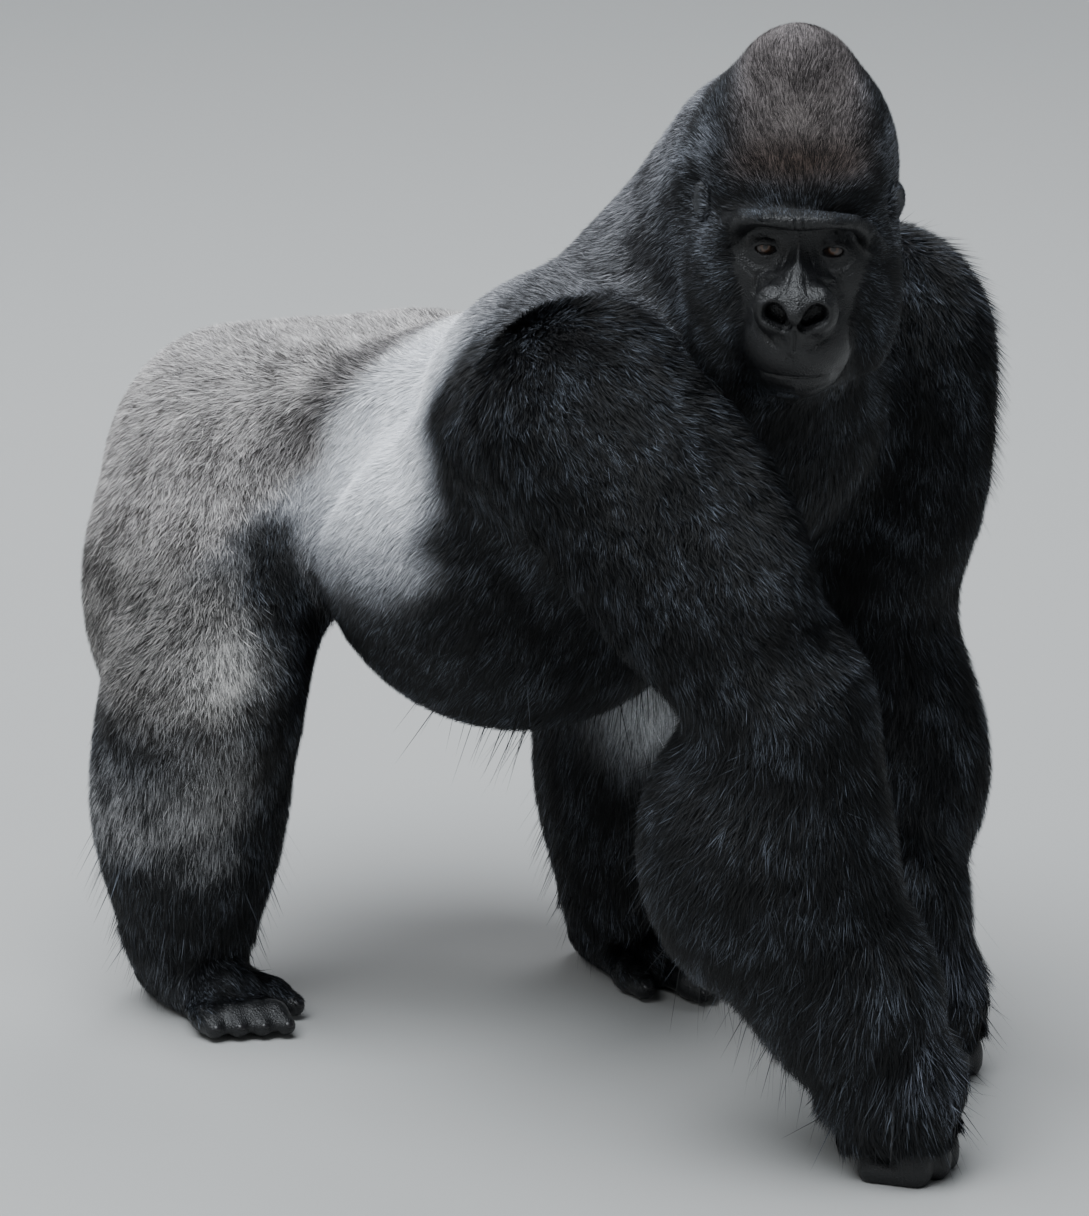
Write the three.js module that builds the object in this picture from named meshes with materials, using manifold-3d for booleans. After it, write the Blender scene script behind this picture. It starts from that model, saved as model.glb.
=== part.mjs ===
// A life-size silverback gorilla, standing on its knuckles and soles with the head turned to its right.
// Millimetres. +X is forward, +Y is the animal's left, +Z is up. The origin is on the floor, under the middle.
//
// The body is a field: a signed distance, negative inside, blended from plain forms (bars and rounded masses)
// that stand for the bones, muscles and coat. Each part of the body is the surface of that field in a box,
// made by surface nets on a grid of its own, and parted from its neighbours by thin flat cuts.

import * as THREE from 'three';
import { mergeVertices } from 'three/addons/utils/BufferGeometryUtils.js';
import Module from 'manifold-3d';

const wasm = await Module();
wasm.setup();

// ---------------------------------------------------------------- driving dimensions

const CUT_GAP = 0.8;          // between two parts of the body
const SIDES = ['right', 'left'];

// Grid steps along the three axes of a part: the smaller the step, the finer the part.
const STEP = {
  trunk: [76, 64, 62], neck: [60, 60, 60], head: [34, 32, 34], face: [13, 12, 11], ear: [7, 6, 7],
  arm: [58, 52, 74], hand: [29, 17, 27], leg: [58, 54, 72], foot: [29, 21.5, 23],
};

// The box that each grid fills, in the part's own frame: its lowest and highest corners.
const BOX = {
  trunk: [[-680, -420, 300], [560, 420, 1180]],
  neck: [[150, -330, 640], [640, 260, 1260]],
  head: [[-230, -192, -230], [60, 192, 250]],
  face: [[-60, -110, -200], [125, 110, 72]],
  hand: [[-190, -124, -44], [120, 124, 300]],
  foot: [[-170, -126, -40], [220, 126, 180]],
};
// The grid of a limb's segment reaches this far past its two joints, and an ear's past its centre.
const MARGIN = { upperArm: 185, forearm: 175, thigh: 215, shank: 170, ear: 32 };

// How widely forms melt into each other.
const MELT = {
  body: 52, trunk: 70, flank: 40, neck: 60, arm: 45, leg: 50, hand: 12, foot: 14, limbEnd: 16, handHair: 20,
  head: 22, cranium: 34, flesh: 24, face: 9, brow: 0.5, socket: 14, nostril: 5, ear: 4, earPocket: 14,
  headToBody: 46,
};

// Joints of the skeleton, in the order X, Y, Z, and how far forward, outward and up of the bone the middle
// of the forearm's long-haired swell lies.
const JOINTS = {
  right: {
    shoulder: [300, -240, 801], elbow: [533, -168, 520], wrist: [578, -122, 165], knuckle: [636, -76, 82],
    swell: [-60, 30, -46],
    hip: [-345, -140, 596], knee: [-288, -262, 385], ankle: [-350, -236, 95],
  },
  left: {
    shoulder: [308, 218, 818], elbow: [286, 234, 470], wrist: [376, 172, 160], knuckle: [438, 166, 82],
    swell: [-14, 32, -20],
    hip: [-330, 140, 596], knee: [-82, 240, 361], ankle: [-86, 222, 95],
  },
};

// The head has its own frame: its origin is midway between the eyes, with f forward, l left and t up.
// The face has a frame of its own round the same origin, which faceTurn turns to the left of the head.
const HEAD = { origin: [520, -140, 1013], yaw: -45, pitch: 12, faceTurn: -5 };
const EYE = { radius: 12.5, f: -8, l: 36, t: -2, segments: 12 };
const EAR = { right: [-58, -101, 30], left: [-62, 102, 27], lean: 32 };

// How far each hand and foot turns from forward to the left, in degrees.
const TURN = { right: { hand: 25, foot: -12 }, left: { hand: -8, foot: -8 } };

// ---------------------------------------------------------------- forms, as signed distances

const { hypot, min, max, abs, cos, sin, atan2, sign, PI } = Math;
const rad = (degrees) => degrees * PI / 180;
const mix = (a, b, t) => a + (b - a) * t;
const between = (a, b, t) => a.map((v, i) => mix(v, b[i], t));
const clamp = (v, low = 0, high = 1) => max(low, min(high, v));

// Polynomial smooth minimum: two forms melt into each other over a width of k.
function melt(a, b, k) {
  const h = max(k - abs(a - b), 0) / k;
  return min(a, b) - h * h * k / 4;
}

// A bar from a to b, with a radius at each end, which swells by belly at mid-length.
function bar(a, b, ra, rb = ra, belly = 0) {
  const [ax, ay, az] = a;
  const [dx, dy, dz] = [b[0] - ax, b[1] - ay, b[2] - az];
  const length2 = dx * dx + dy * dy + dz * dz;
  return (x, y, z) => {
    const t = clamp(((x - ax) * dx + (y - ay) * dy + (z - az) * dz) / length2);
    const radius = mix(ra, rb, t) + belly * 4 * t * (1 - t);
    return hypot(x - ax - t * dx, y - ay - t * dy, z - az - t * dz) - radius;
  };
}

// A rounded mass: an ellipsoid with three radii. In degrees, pitch lifts its front and yaw turns it left.
function mass(centre, radii, pitch = 0, yaw = 0) {
  const [cx, cy, cz] = centre;
  const [ra, rb, rc] = radii;
  const [cp, sp, cw, sw] = [cos(rad(pitch)), sin(rad(pitch)), cos(rad(yaw)), sin(rad(yaw))];
  return (x, y, z) => {
    const [dx, dy, dz] = [x - cx, y - cy, z - cz];
    const along = dx * cw + dy * sw;
    const u = (along * cp + dz * sp) / ra;
    const v = (dy * cw - dx * sw) / rb;
    const w = (dz * cp - along * sp) / rc;
    const reach = hypot(u, v, w);
    const slope = hypot(u / ra, v / rb, w / rc);
    return slope > 1e-9 ? reach * (reach - 1) / slope : -min(ra, rb, rc);
  };
}

// The same form on both sides of the middle plane.
const paired = (form) => (x, y, z) => form(x, abs(y), z);

// Forms melted together one after another.
const joined = (k, forms) => (x, y, z) => {
  let d = 1e6;
  for (const form of forms) d = melt(d, form(x, y, z), k);
  return d;
};

// A form with others taken out of it, with rounded edges.
const hollowed = (k, solid, forms) => (x, y, z) => {
  let d = solid(x, y, z);
  for (const form of forms) d = -melt(-d, form(x, y, z), k);
  return d;
};

// A form seen through a matrix, which takes places where it is asked for to places where it is stated.
function through(matrix, form) {
  const m = matrix.elements;
  return (x, y, z) => form(
    m[0] * x + m[4] * y + m[8] * z + m[12],
    m[1] * x + m[5] * y + m[9] * z + m[13],
    m[2] * x + m[6] * y + m[10] * z + m[14],
  );
}

// ---------------------------------------------------------------- trunk and neck

const fleshOfTrunk = joined(MELT.trunk, [
  mass([200, 0, 750], [252, 226, 196], 20),                    // rib cage
  mass([-36, 0, 590], [232, 250, 240], 11),                    // belly
  mass([238, 0, 866], [170, 146, 120], 45),                    // hump of the upper back
  paired(mass([150, 145, 801], [180, 95, 125], 26)),           // shoulder blades
  bar([-260, 0, 656], [60, 0, 671], 120, 150),                 // loins
  mass([-364, -10, 614], [196, 185, 162]),                     // pelvis
  paired(mass([-262, 112, 694], [165, 74, 84], 3, -5)),        // crests of the hip bones
  mass([-452, -108, 600], [124, 116, 166], -20),               // seats, the right one higher
  mass([-434, 104, 574], [122, 114, 156], -20),
]);
const flankHollow = bar([-60, 192, 778], [-192, 224, 625], 36, 40);
const trunk = hollowed(MELT.flank, fleshOfTrunk, [paired(flankHollow)]);

const neck = joined(MELT.neck, [
  bar([262, 0, 906], [384, -50, 1064], 148, 115),
  bar([320, 0, 816], [440, -80, 925], 140, 90),
]);

// ---------------------------------------------------------------- limbs

function armForms({ shoulder, elbow, wrist, swell }) {
  const out = sign(shoulder[1]);
  const upper = between(shoulder, elbow, 0.45);
  const fore = between(elbow, wrist, 0.36);
  const lean = atan2(elbow[0] - shoulder[0], shoulder[2] - elbow[2]) * 180 / PI;
  const from = ([x, y, z], forward, outward, up) => [x + forward, y + out * outward, z + up];
  return joined(MELT.arm, [
    mass(from(shoulder, 5, 8, 16), [125, 94, 125]),              // deltoid
    bar(from(shoulder, -136, -56, -34), shoulder, 98, 116),      // from the shoulder blade
    bar(shoulder, elbow, 116, 90, 14),
    mass(from(upper, 56, 0, 44), [98, 84, 175], lean),           // biceps
    mass(from(upper, -12, 8, 8), [92, 84, 152], lean),         // triceps
    bar(elbow, wrist, 93, 84, 8),
    mass(from(fore, ...swell), [130, 116, 168], 8),              // forearm
    mass(from(wrist, -42, 0, 48), [92, 84, 92]),                 // long hair above the wrist
    mass(from(wrist, 34, -14, 20), [86, 80, 108]),               // and in front of it
  ]);
}

// A place beside a joint: forward and outward of it, at a height. Turn swings its forward to the left.
function besideJoint([x, y], out, turn) {
  const [cw, sw] = [cos(rad(turn)), sin(rad(turn))];
  return (forward, outward, z) => [
    x + forward * cw - outward * out * sw,
    y + forward * sw + outward * out * cw,
    z,
  ];
}

// The hand stands on the backs of its folded fingers.
function handForms({ wrist, knuckle }, turn) {
  const at = besideJoint(knuckle, sign(knuckle[1]), turn);
  const forms = [bar(wrist, at(-6, 0, 96), 62, 50)];
  for (let finger = 0; finger < 4; finger++) {
    const side = (finger - 1.5) * 31;
    const reach = finger === 0 || finger === 3 ? -9 : 3;
    // From the knuckle down, then back along the floor, then the tip, curled up under the palm.
    forms.push(bar(at(reach, side, 84), at(reach + 30, side, 30), 25, 20));
    forms.push(bar(at(reach + 30, side, 13), at(reach - 18, side, 11), 20, 18));
    forms.push(bar(at(reach - 18, side, 17), at(reach - 32, side * 0.9, 46), 16, 13));
  }
  forms.push(bar(at(-30, -46, 104), at(-10, -68, 58), 21, 14));       // thumb
  const [x, y] = between(wrist, knuckle, 0.5);
  const hair = mass([x + 14, y, 108], [94, 86, 98], 0, turn);         // long hair over the back of the hand
  return joined(MELT.handHair, [joined(MELT.hand, forms), hair]);
}

function legForms({ hip, knee, ankle }) {
  const out = sign(hip[1]);
  const thigh = between(hip, knee, 0.4);
  const calf = between(knee, ankle, 0.34);
  return joined(MELT.leg, [
    bar(hip, knee, 148, 104),
    mass([thigh[0] - 70, thigh[1] + out * 16, thigh[2] - 26], [122, 110, 190]),
    bar(knee, ankle, 108, 84, 12),
    mass([calf[0] - 30, calf[1] + out * 6, calf[2] - 20], [104, 94, 156]),
  ]);
}

// The foot stands flat, with the great toe set apart on the inner side.
function footForms({ ankle }, turn) {
  const at = besideJoint(ankle, sign(ankle[1]), turn);
  const forms = [
    bar(ankle, at(-8, 0, 62), 60, 52),
    bar(at(-48, 0, 34), at(70, 4, 34), 42, 40),                  // heel and arch
    bar(at(-30, 0, 30), at(90, 18, 26), 40, 34),                 // outer edge
    bar(at(-10, -12, 30), at(80, -22, 26), 38, 30),              // inner edge
    bar(at(20, -30, 26), at(86, -60, 22), 26, 20),               // great toe
    bar(at(86, -60, 20), at(124, -68, 17), 20, 16),
  ];
  for (let toe = 0; toe < 4; toe++) {
    const side = toe * 24 - 24;
    const reach = 178 - toe * 11;
    forms.push(bar(at(96, side * 0.8, 22), at(reach - 24, side, 22), 20, 17));
    forms.push(bar(at(reach - 24, side, 21), at(reach, side * 1.05, 15), 17, 14));
  }
  return joined(MELT.foot, forms);
}

// ---------------------------------------------------------------- head, in its own frame

const cranium = joined(MELT.cranium, [
  mass([-96, 0, 24], [100, 88, 90]),                            // braincase
  mass([-122, 0, 108], [82, 78, 96], -6),                       // crest
  paired(mass([-98, 58, 54], [76, 52, 92])),                    // temples
  paired(mass([-66, 74, -62], [76, 42, 106], 14)),              // jaw muscles under long hair
  mass([-60, 0, -104], [88, 78, 74]),                           // throat
  mass([-42, 0, 40], [42, 58, 32], -34),                        // forehead
]);

// The face, in its own frame.
const brow = [[18, 0, 38], [15, 34, 38], [5, 56, 32], [-6, 70, 19], [-16, 76, -2]];
const BROW_RADIUS = 9.5;
const faceForms = joined(MELT.face, [
  joined(MELT.flesh, [
    mass([-8, 0, -60], [50, 50, 62]),                           // upper jaw
    paired(mass([-34, 48, -34], [44, 38, 46])),                 // cheekbones
    bar([-10, 0, 4], [36, 0, -36], 11, 23),                     // root of the nose
    mass([18, 0, -94], [56, 60, 48]),                           // muzzle
    mass([0, 0, -128], [52, 46, 37]),                           // lower jaw
  ]),
  paired(joined(MELT.brow, brow.slice(1).map((end, i) => bar(brow[i], end, BROW_RADIUS)))),
  bar([2, 0, 12], [50, 0, -26], 5, 9),                          // bridge of the nose
  paired(mass([54, 23, -47], [24, 22, 28])),                    // wings of the nose
  mass([58, 0, -44], [20, 22, 24]),
  mass([74, 0, -44], [8, 9, 8]),                                // tip of the nose
  bar([62, 0, -66], [69, 0, -83], 17, 7),                       // the heart's point, above the lip
  paired(bar([54, 0, -128], [46, 30, -125], 8, 5)),             // lower lip
]);
const sockets = paired(mass([22, 42, 7], [20, 38, 21]));
const nostrils = paired(bar([76, 23, -44], [73, 10, -54], 11.5, 8));

const faceTurn = new THREE.Matrix4().makeRotationZ(rad(HEAD.faceTurn));
const turnedWithFace = (form) => through(faceTurn.clone().invert(), form);
const headForms = hollowed(MELT.nostril,
  hollowed(MELT.socket, joined(MELT.head, [cranium, turnedWithFace(faceForms)]), [turnedWithFace(sockets)]),
  [turnedWithFace(nostrils)]);

// The ear leans back from the side of the head, with its bowl facing forward and out.
function earForms([f, l, t]) {
  const out = sign(l);
  return hollowed(MELT.ear,
    mass([f, l, t], [15, 9, 21], 0, -out * EAR.lean),
    [mass([f + 10, l + out * 6, t + 1], [10, 8, 14], 0, -out * EAR.lean)]);
}

// The coat is short round the ear, which stands in a shallow pocket of it.
const earPocket = ([f, l, t]) => mass([f + 16, l + sign(l) * 16, t], [34, 22, 34]);

const headMatrix = new THREE.Matrix4()
  .makeRotationFromEuler(new THREE.Euler(0, rad(HEAD.pitch), rad(HEAD.yaw), 'ZYX'))
  .setPosition(...HEAD.origin);
const faceMatrix = headMatrix.clone().multiply(faceTurn);

const inHead = (form) => through(headMatrix.clone().invert(), form);

// ---------------------------------------------------------------- the whole animal

const body = joined(MELT.body, [
  joined(MELT.neck, [trunk, neck]),
  ...SIDES.map((side) => armForms(JOINTS[side])),
  ...SIDES.map((side) => legForms(JOINTS[side])),
]);
const bodyAndHead = hollowed(MELT.earPocket,
  joined(MELT.headToBody, [body, inHead(headForms)]),
  SIDES.map((side) => inHead(earPocket(EAR[side]))));

// ---------------------------------------------------------------- surface of a field

// Surface nets: one vertex in each cell that the surface crosses, one quad round each grid edge it crosses.
// The grid stands in a frame of its own, which a matrix places.
function surfaceOf(field, low, high, step, frame = new THREE.Matrix4()) {
  const local = through(frame, field);
  const [nx, ny, nz] = low.map((v, i) => Math.ceil((high[i] - v) / step[i]) + 1);
  const index = (i, j, k) => (k * ny + j) * nx + i;
  const value = new Float32Array(nx * ny * nz).fill(1);      // the outermost layer stays outside
  for (let k = 1; k < nz - 1; k++)
    for (let j = 1; j < ny - 1; j++)
      for (let i = 1; i < nx - 1; i++)
        value[index(i, j, k)] = local(low[0] + i * step[0], low[1] + j * step[1], low[2] + k * step[2]);

  fillPinches(value, [nx, ny, nz]);
  const vertexOf = new Int32Array(nx * ny * nz).fill(-1);
  const points = [];
  const corners = [0, 1, 2, 3, 4, 5, 6, 7].map((c) => [c & 1, (c >> 1) & 1, c >> 2]);
  for (let k = 0; k < nz - 1; k++)
    for (let j = 0; j < ny - 1; j++)
      for (let i = 0; i < nx - 1; i++) {
        let count = 0;
        const sum = [0, 0, 0];
        corners.forEach(([a, b, c], from) => {
          const here = value[index(i + a, j + b, k + c)];
          for (let axis = 0; axis < 3; axis++) {
            if (from >> axis & 1) continue;
            const [a2, b2, c2] = corners[from | 1 << axis];
            const there = value[index(i + a2, j + b2, k + c2)];
            if (here < 0 === there < 0) continue;
            const t = here / (here - there);
            [mix(a, a2, t), mix(b, b2, t), mix(c, c2, t)].forEach((v, m) => { sum[m] += v; });
            count++;
          }
        });
        if (!count) continue;
        vertexOf[index(i, j, k)] = points.length;
        const net = [i, j, k].map((v, m) => low[m] + (v + sum[m] / count) * step[m]);
        points.push(settled(local, net, min(...step) * 0.4));
      }

  const faces = [];
  const far = (a, b) => hypot(...points[a].map((v, i) => v - points[b][i]));
  const quad = (corner, inside) => {
    const [a, b, c, d] = inside ? corner : corner.reverse();
    if (far(a, c) < far(b, d)) faces.push(a, b, c, a, c, d);
    else faces.push(a, b, d, b, c, d);
  };
  for (let k = 0; k < nz - 1; k++)
    for (let j = 0; j < ny - 1; j++)
      for (let i = 0; i < nx - 1; i++) {
        const inside = value[index(i, j, k)] < 0;
        const crosses = (a, b, c) => inside !== value[index(i + a, j + b, k + c)] < 0;
        const v = (a, b, c) => vertexOf[index(i - a, j - b, k - c)];
        if (crosses(1, 0, 0)) quad([v(0, 1, 1), v(0, 0, 1), v(0, 0, 0), v(0, 1, 0)], inside);
        if (crosses(0, 1, 0)) quad([v(1, 0, 1), v(1, 0, 0), v(0, 0, 0), v(0, 0, 1)], inside);
        if (crosses(0, 0, 1)) quad([v(1, 1, 0), v(0, 1, 0), v(0, 0, 0), v(1, 0, 0)], inside);
      }
  const placed = points.flatMap((p) => new THREE.Vector3(...p).applyMatrix4(frame).toArray());
  return new wasm.Manifold(new wasm.Mesh({
    numProp: 3,
    vertProperties: new Float32Array(placed),
    triVerts: new Uint32Array(faces),
  }));
}

// Where two inner grid points, or two outer ones, meet only across a diagonal, the surface would pinch, so
// one of the points between them is filled.
const FILLED = -1e-3;
function fillPinches(value, [nx, ny, nz]) {
  const [X, Y, Z] = [1, nx, nx * ny];
  const squares = [[0, X, Y, X + Y], [0, Y, Z, Y + Z], [0, Z, X, Z + X]];
  const cube = [0, X, Y, X + Y, Z, X + Z, Y + Z, X + Y + Z];
  const pinched = (inside) => {
    const last = inside.length - 1;
    const alike = inside.filter((v, i) => v === inside[last - i]).length;
    const count = inside.filter(Boolean).length;
    return (last === 3 && count === 2 && alike === 4) || (last === 7 && count % 4 === 2 && alike === 8);
  };
  for (let changed = true; changed;) {
    changed = false;
    for (let k = 1; k < nz - 1; k++)
      for (let j = 1; j < ny - 1; j++)
        for (let i = 1; i < nx - 1; i++) {
          const at = (k * ny + j) * nx + i;
          for (const corners of [...squares, cube]) {
            const inside = corners.map((step) => value[at + step] < 0);
            if (!pinched(inside)) continue;
            value[at + corners[inside.indexOf(false)]] = FILLED;
            changed = true;
          }
        }
  }
}

// Moves a point towards the field's surface, along the field's slope, as long as that brings it nearer.
function settled(field, point, reach) {
  const [passes, e, leastSlope, leastGain] = [3, 0.5, 0.6, 0.3];
  let at = point;
  let d = field(...at);
  for (let pass = 0; pass < passes; pass++) {
    const slope = at.map((v, i) => {
      const [near, far] = [[...at], [...at]];
      near[i] -= e;
      far[i] += e;
      return (field(...far) - field(...near)) / (2 * e);
    });
    const steep = hypot(...slope);
    if (steep < leastSlope) break;
    const step = clamp(d / steep, -reach, reach);
    const next = at.map((v, i) => v - step * slope[i] / steep);
    const left = field(...next);
    if (abs(left) > (1 - leastGain) * abs(d)) break;
    [at, d] = [next, left];
  }
  return at;
}

// ---------------------------------------------------------------- cuts

const dot = (a, b) => a[0] * b[0] + a[1] * b[1] + a[2] * b[2];
const unit = (v) => v.map((c) => c / hypot(...v));
const minus = (a, b) => a.map((v, i) => v - b[i]);

// A cut is a plane: a point of it and the direction that its far side lies in.
const cutAt = (point, normal) => ({ point, normal: unit(normal) });
const turned = ({ point, normal }) => ({ point, normal: normal.map((v) => -v) });

// The cut across a joint, halfway between the directions of the two bones that meet there.
function cutAcross(before, joint, after) {
  const [a, b] = [unit(minus(joint, before)), unit(minus(after, joint))];
  return cutAt(joint, a.map((v, i) => v + b[i]));
}

function headCut(point, normal) {
  const at = new THREE.Vector3(...point).applyMatrix4(headMatrix);
  const toward = new THREE.Vector3(...normal).transformDirection(headMatrix);
  return cutAt(at.toArray(), toward.toArray());
}

const trimmed = (solid, cuts, gap = CUT_GAP) => cuts.reduce(
  (rest, { point, normal }) => rest.trimByPlane(normal, dot(point, normal) + gap / 2), solid);

// A closed solid from a geometry.
function solidFrom(geometry) {
  const bare = geometry.clone();
  bare.deleteAttribute('normal');
  bare.deleteAttribute('uv');
  const merged = mergeVertices(bare, 1e-4);
  return new wasm.Manifold(new wasm.Mesh({
    numProp: 3,
    vertProperties: merged.attributes.position.array,
    triVerts: new Uint32Array(merged.index.array),
  }));
}

// What lies on the far side of all the cuts, taken out of a solid, together with the gap round it.
const ROOM = 5000;
function without(solid, ...regions) {
  let rest = solid;
  for (const cuts of regions)
    rest = rest.subtract(trimmed(solidFrom(new THREE.BoxGeometry(ROOM, ROOM, ROOM)), cuts, -CUT_GAP));
  return rest;
}

const largest = (solid) => solid.decompose().reduce((a, b) => (a.volume() > b.volume() ? a : b));

// Where the parts meet.
const MIDDLE = { right: cutAt([0, -3, 0], [0, -1, 0]), left: cutAt([0, 3, 0], [0, 1, 0]) };
const INNER_ARM = {
  right: cutAt([300, -150, 790], [0.2, -0.96, -0.18]),
  left: cutAt([310, 142, 790], [0, 0.99, -0.12]),
};
const BEHIND_ARM = {
  right: cutAt([195, -222, 722], [0.788, -0.143, 0.599]),
  left: cutAt([185, 232, 801], [0.998, 0, -0.06]),
};
const GROIN = {
  right: [cutAt([-320, -165, 548], [0.217, -0.482, -0.85]), cutAt([-200, -190, 545], [-0.73, 0, -0.67])],
  left: [cutAt([-285, 165, 545], [0.5, 0.35, -0.79]), cutAt([-100, 222, 520], [-0.5, 0.5, -0.71])],
};
const NAPE = cutAt([235, 0, 1010], [0.63, -0.1, 0.77]);
const FLOOR = cutAt([0, 0, -CUT_GAP / 2], [0, 0, 1]);

const HEAD_CUTS = [
  headCut([-150, 0, 60], [0.945, 0, 0.33]),
  headCut([0, 0, -176], [0, 0, 1]),
  headCut([0, -134, 0], [0, 0.97, 0.24]),
];
const FACE_CUTS = [
  headCut([-36, 0, 0], [1, 0, 0]),
  headCut([0, 0, 52], [0.2, 0, -1]),
  headCut([0, 86, 0], [0, -1, 0]),
  headCut([0, -86, 0], [0, 1, 0]),
];
const MOUTH = headCut([40, 0, -119], [0.06, 0, 1]);
const ARM_CUTS = { right: [INNER_ARM.right, BEHIND_ARM.right], left: [INNER_ARM.left, BEHIND_ARM.left] };
const LEG_CUTS = { right: [...GROIN.right, MIDDLE.right], left: [...GROIN.left, MIDDLE.left] };
const NECK_CUTS = [NAPE, turned(INNER_ARM.right), turned(INNER_ARM.left)];
const WAIST = cutAt([0, 0, 650], [1, 0, 0.25]);
const LOIN = cutAt([-215, 0, 640], [1, 0, -0.15]);
const ABOVE_ANKLE = 15;

// ---------------------------------------------------------------- colours

const finish = (color, roughness) => new THREE.MeshStandardMaterial({ color, roughness, metalness: 0 });
const BLACK_COAT = finish(0x17181c, 0.75);
const SILVER_COAT = finish(0xa9abb0, 0.8);
const GREY_COAT = finish(0x6d6a69, 0.8);
const CROWN_COAT = finish(0x3b3332, 0.8);
const NAPE_COAT = finish(0x47484d, 0.8);
const BARE_SKIN = finish(0x26272c, 0.45);
const EYE_BROWN = finish(0x2c1810, 0.12);

// ---------------------------------------------------------------- the parts

const gorilla = new THREE.Group();

function geometryOf(solid) {
  const mesh = solid.getMesh();
  const geometry = new THREE.BufferGeometry();
  geometry.setAttribute('position', new THREE.BufferAttribute(new Float32Array(mesh.vertProperties), 3));
  geometry.setIndex(new THREE.BufferAttribute(new Uint32Array(mesh.triVerts), 1));
  geometry.computeVertexNormals();
  return geometry;
}

function add(name, solid, material) {
  const mesh = new THREE.Mesh(geometryOf(largest(solid)), material);
  mesh.name = name;
  gorilla.add(mesh);
}

// The surface of a field in a box round some points.
function around(field, points, margin, step) {
  const low = [0, 1, 2].map((i) => min(...points.map((p) => p[i])) - margin);
  const high = [0, 1, 2].map((i) => max(...points.map((p) => p[i])) + margin);
  return surfaceOf(field, low, high, step);
}

function addTrunk() {
  const solid = without(surfaceOf(body, ...BOX.trunk, STEP.trunk),
    NECK_CUTS, ARM_CUTS.right, ARM_CUTS.left, LEG_CUTS.right, LEG_CUTS.left, HEAD_CUTS);
  add('chest', trimmed(solid, [WAIST]), BLACK_COAT);
  add('abdomen', trimmed(solid, [turned(WAIST), LOIN]), SILVER_COAT);
  add('pelvis', trimmed(solid, [turned(LOIN)]), GREY_COAT);
}

function addNeckAndHead() {
  const neckSolid = surfaceOf(bodyAndHead, ...BOX.neck, STEP.neck);
  add('neck', without(trimmed(neckSolid, NECK_CUTS), HEAD_CUTS), NAPE_COAT);
  const headSolid = surfaceOf(bodyAndHead, ...BOX.head, STEP.head, headMatrix);
  add('head', without(trimmed(headSolid, HEAD_CUTS), FACE_CUTS), CROWN_COAT);
}

function ball(centre, radius) {
  const geometry = new THREE.SphereGeometry(radius, EYE.segments, EYE.segments * 0.75);
  return solidFrom(geometry.translate(...centre));
}

// The eyeballs sit in rooms of their own in the face, which the mouth parts from the jaw.
function addFace() {
  const grown = surfaceOf(bodyAndHead, ...BOX.face, STEP.face, headMatrix);
  const solid = trimmed(grown, [...HEAD_CUTS, ...FACE_CUTS]);
  let face = trimmed(solid, [MOUTH]);
  for (const side of SIDES) {
    const l = side === 'left' ? EYE.l : -EYE.l;
    const centre = new THREE.Vector3(EYE.f, l, EYE.t).applyMatrix4(faceMatrix).toArray();
    face = face.subtract(ball(centre, EYE.radius + CUT_GAP));
    add(`eye_${side}`, ball(centre, EYE.radius), EYE_BROWN);
  }
  add('face', face, BARE_SKIN);
  add('jaw', trimmed(solid, [turned(MOUTH)]), BARE_SKIN);
}

function addEars() {
  const clearOfHead = (x, y, z) => bodyAndHead(x, y, z) - CUT_GAP;
  const under = surfaceOf(clearOfHead, ...BOX.head, STEP.head, headMatrix);
  for (const side of SIDES) {
    const [low, high] = [-MARGIN.ear, MARGIN.ear].map((reach) => EAR[side].map((v) => v + reach));
    const ear = surfaceOf(inHead(earForms(EAR[side])), low, high, STEP.ear, headMatrix);
    add(`ear_${side}`, ear.subtract(under), BARE_SKIN);
  }
}

// A frame on the floor below a joint, turned about the upright, for a hand or a foot.
const standing = ([x, y], turn) => new THREE.Matrix4().makeRotationZ(rad(turn)).setPosition(x, y, 0);

function addArm(side) {
  const { shoulder, elbow, wrist, knuckle } = JOINTS[side];
  const turn = TURN[side].hand;
  const elbowCut = cutAcross(shoulder, elbow, wrist);
  const wristCut = cutAcross(elbow, wrist, knuckle);
  const arm = joined(MELT.limbEnd, [armForms(JOINTS[side]), handForms(JOINTS[side], turn)]);
  const upperSolid = trimmed(
    around(body, [shoulder, elbow], MARGIN.upperArm, STEP.arm), [...ARM_CUTS[side], turned(elbowCut)]);
  add(`upper_arm_${side}`, without(upperSolid, HEAD_CUTS), BLACK_COAT);
  const foreSolid = around(arm, [elbow, wrist], MARGIN.forearm, STEP.arm);
  add(`forearm_${side}`, trimmed(foreSolid, [elbowCut, turned(wristCut)]), BLACK_COAT);
  const handSolid = surfaceOf(arm, ...BOX.hand, STEP.hand, standing(knuckle, turn));
  add(`hand_${side}`, trimmed(handSolid, [wristCut, FLOOR]), BARE_SKIN);
}

function addLeg(side) {
  const { hip, knee, ankle } = JOINTS[side];
  const turn = TURN[side].foot;
  const kneeCut = cutAcross(hip, knee, ankle);
  const ankleCut = cutAt([ankle[0], ankle[1], ankle[2] + ABOVE_ANKLE], [0, 0, -1]);
  const leg = joined(MELT.limbEnd, [legForms(JOINTS[side]), footForms(JOINTS[side], turn)]);
  const thighSolid = around(body, [hip, knee], MARGIN.thigh, STEP.leg);
  add(`thigh_${side}`, trimmed(thighSolid, [...LEG_CUTS[side], turned(kneeCut)]), GREY_COAT);
  const shankSolid = around(leg, [knee, ankle], MARGIN.shank, STEP.leg);
  add(`shank_${side}`, trimmed(shankSolid, [kneeCut, turned(ankleCut)]), BLACK_COAT);
  const footSolid = surfaceOf(leg, ...BOX.foot, STEP.foot, standing(ankle, turn));
  add(`foot_${side}`, trimmed(footSolid, [ankleCut, FLOOR]), BARE_SKIN);
}

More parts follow.
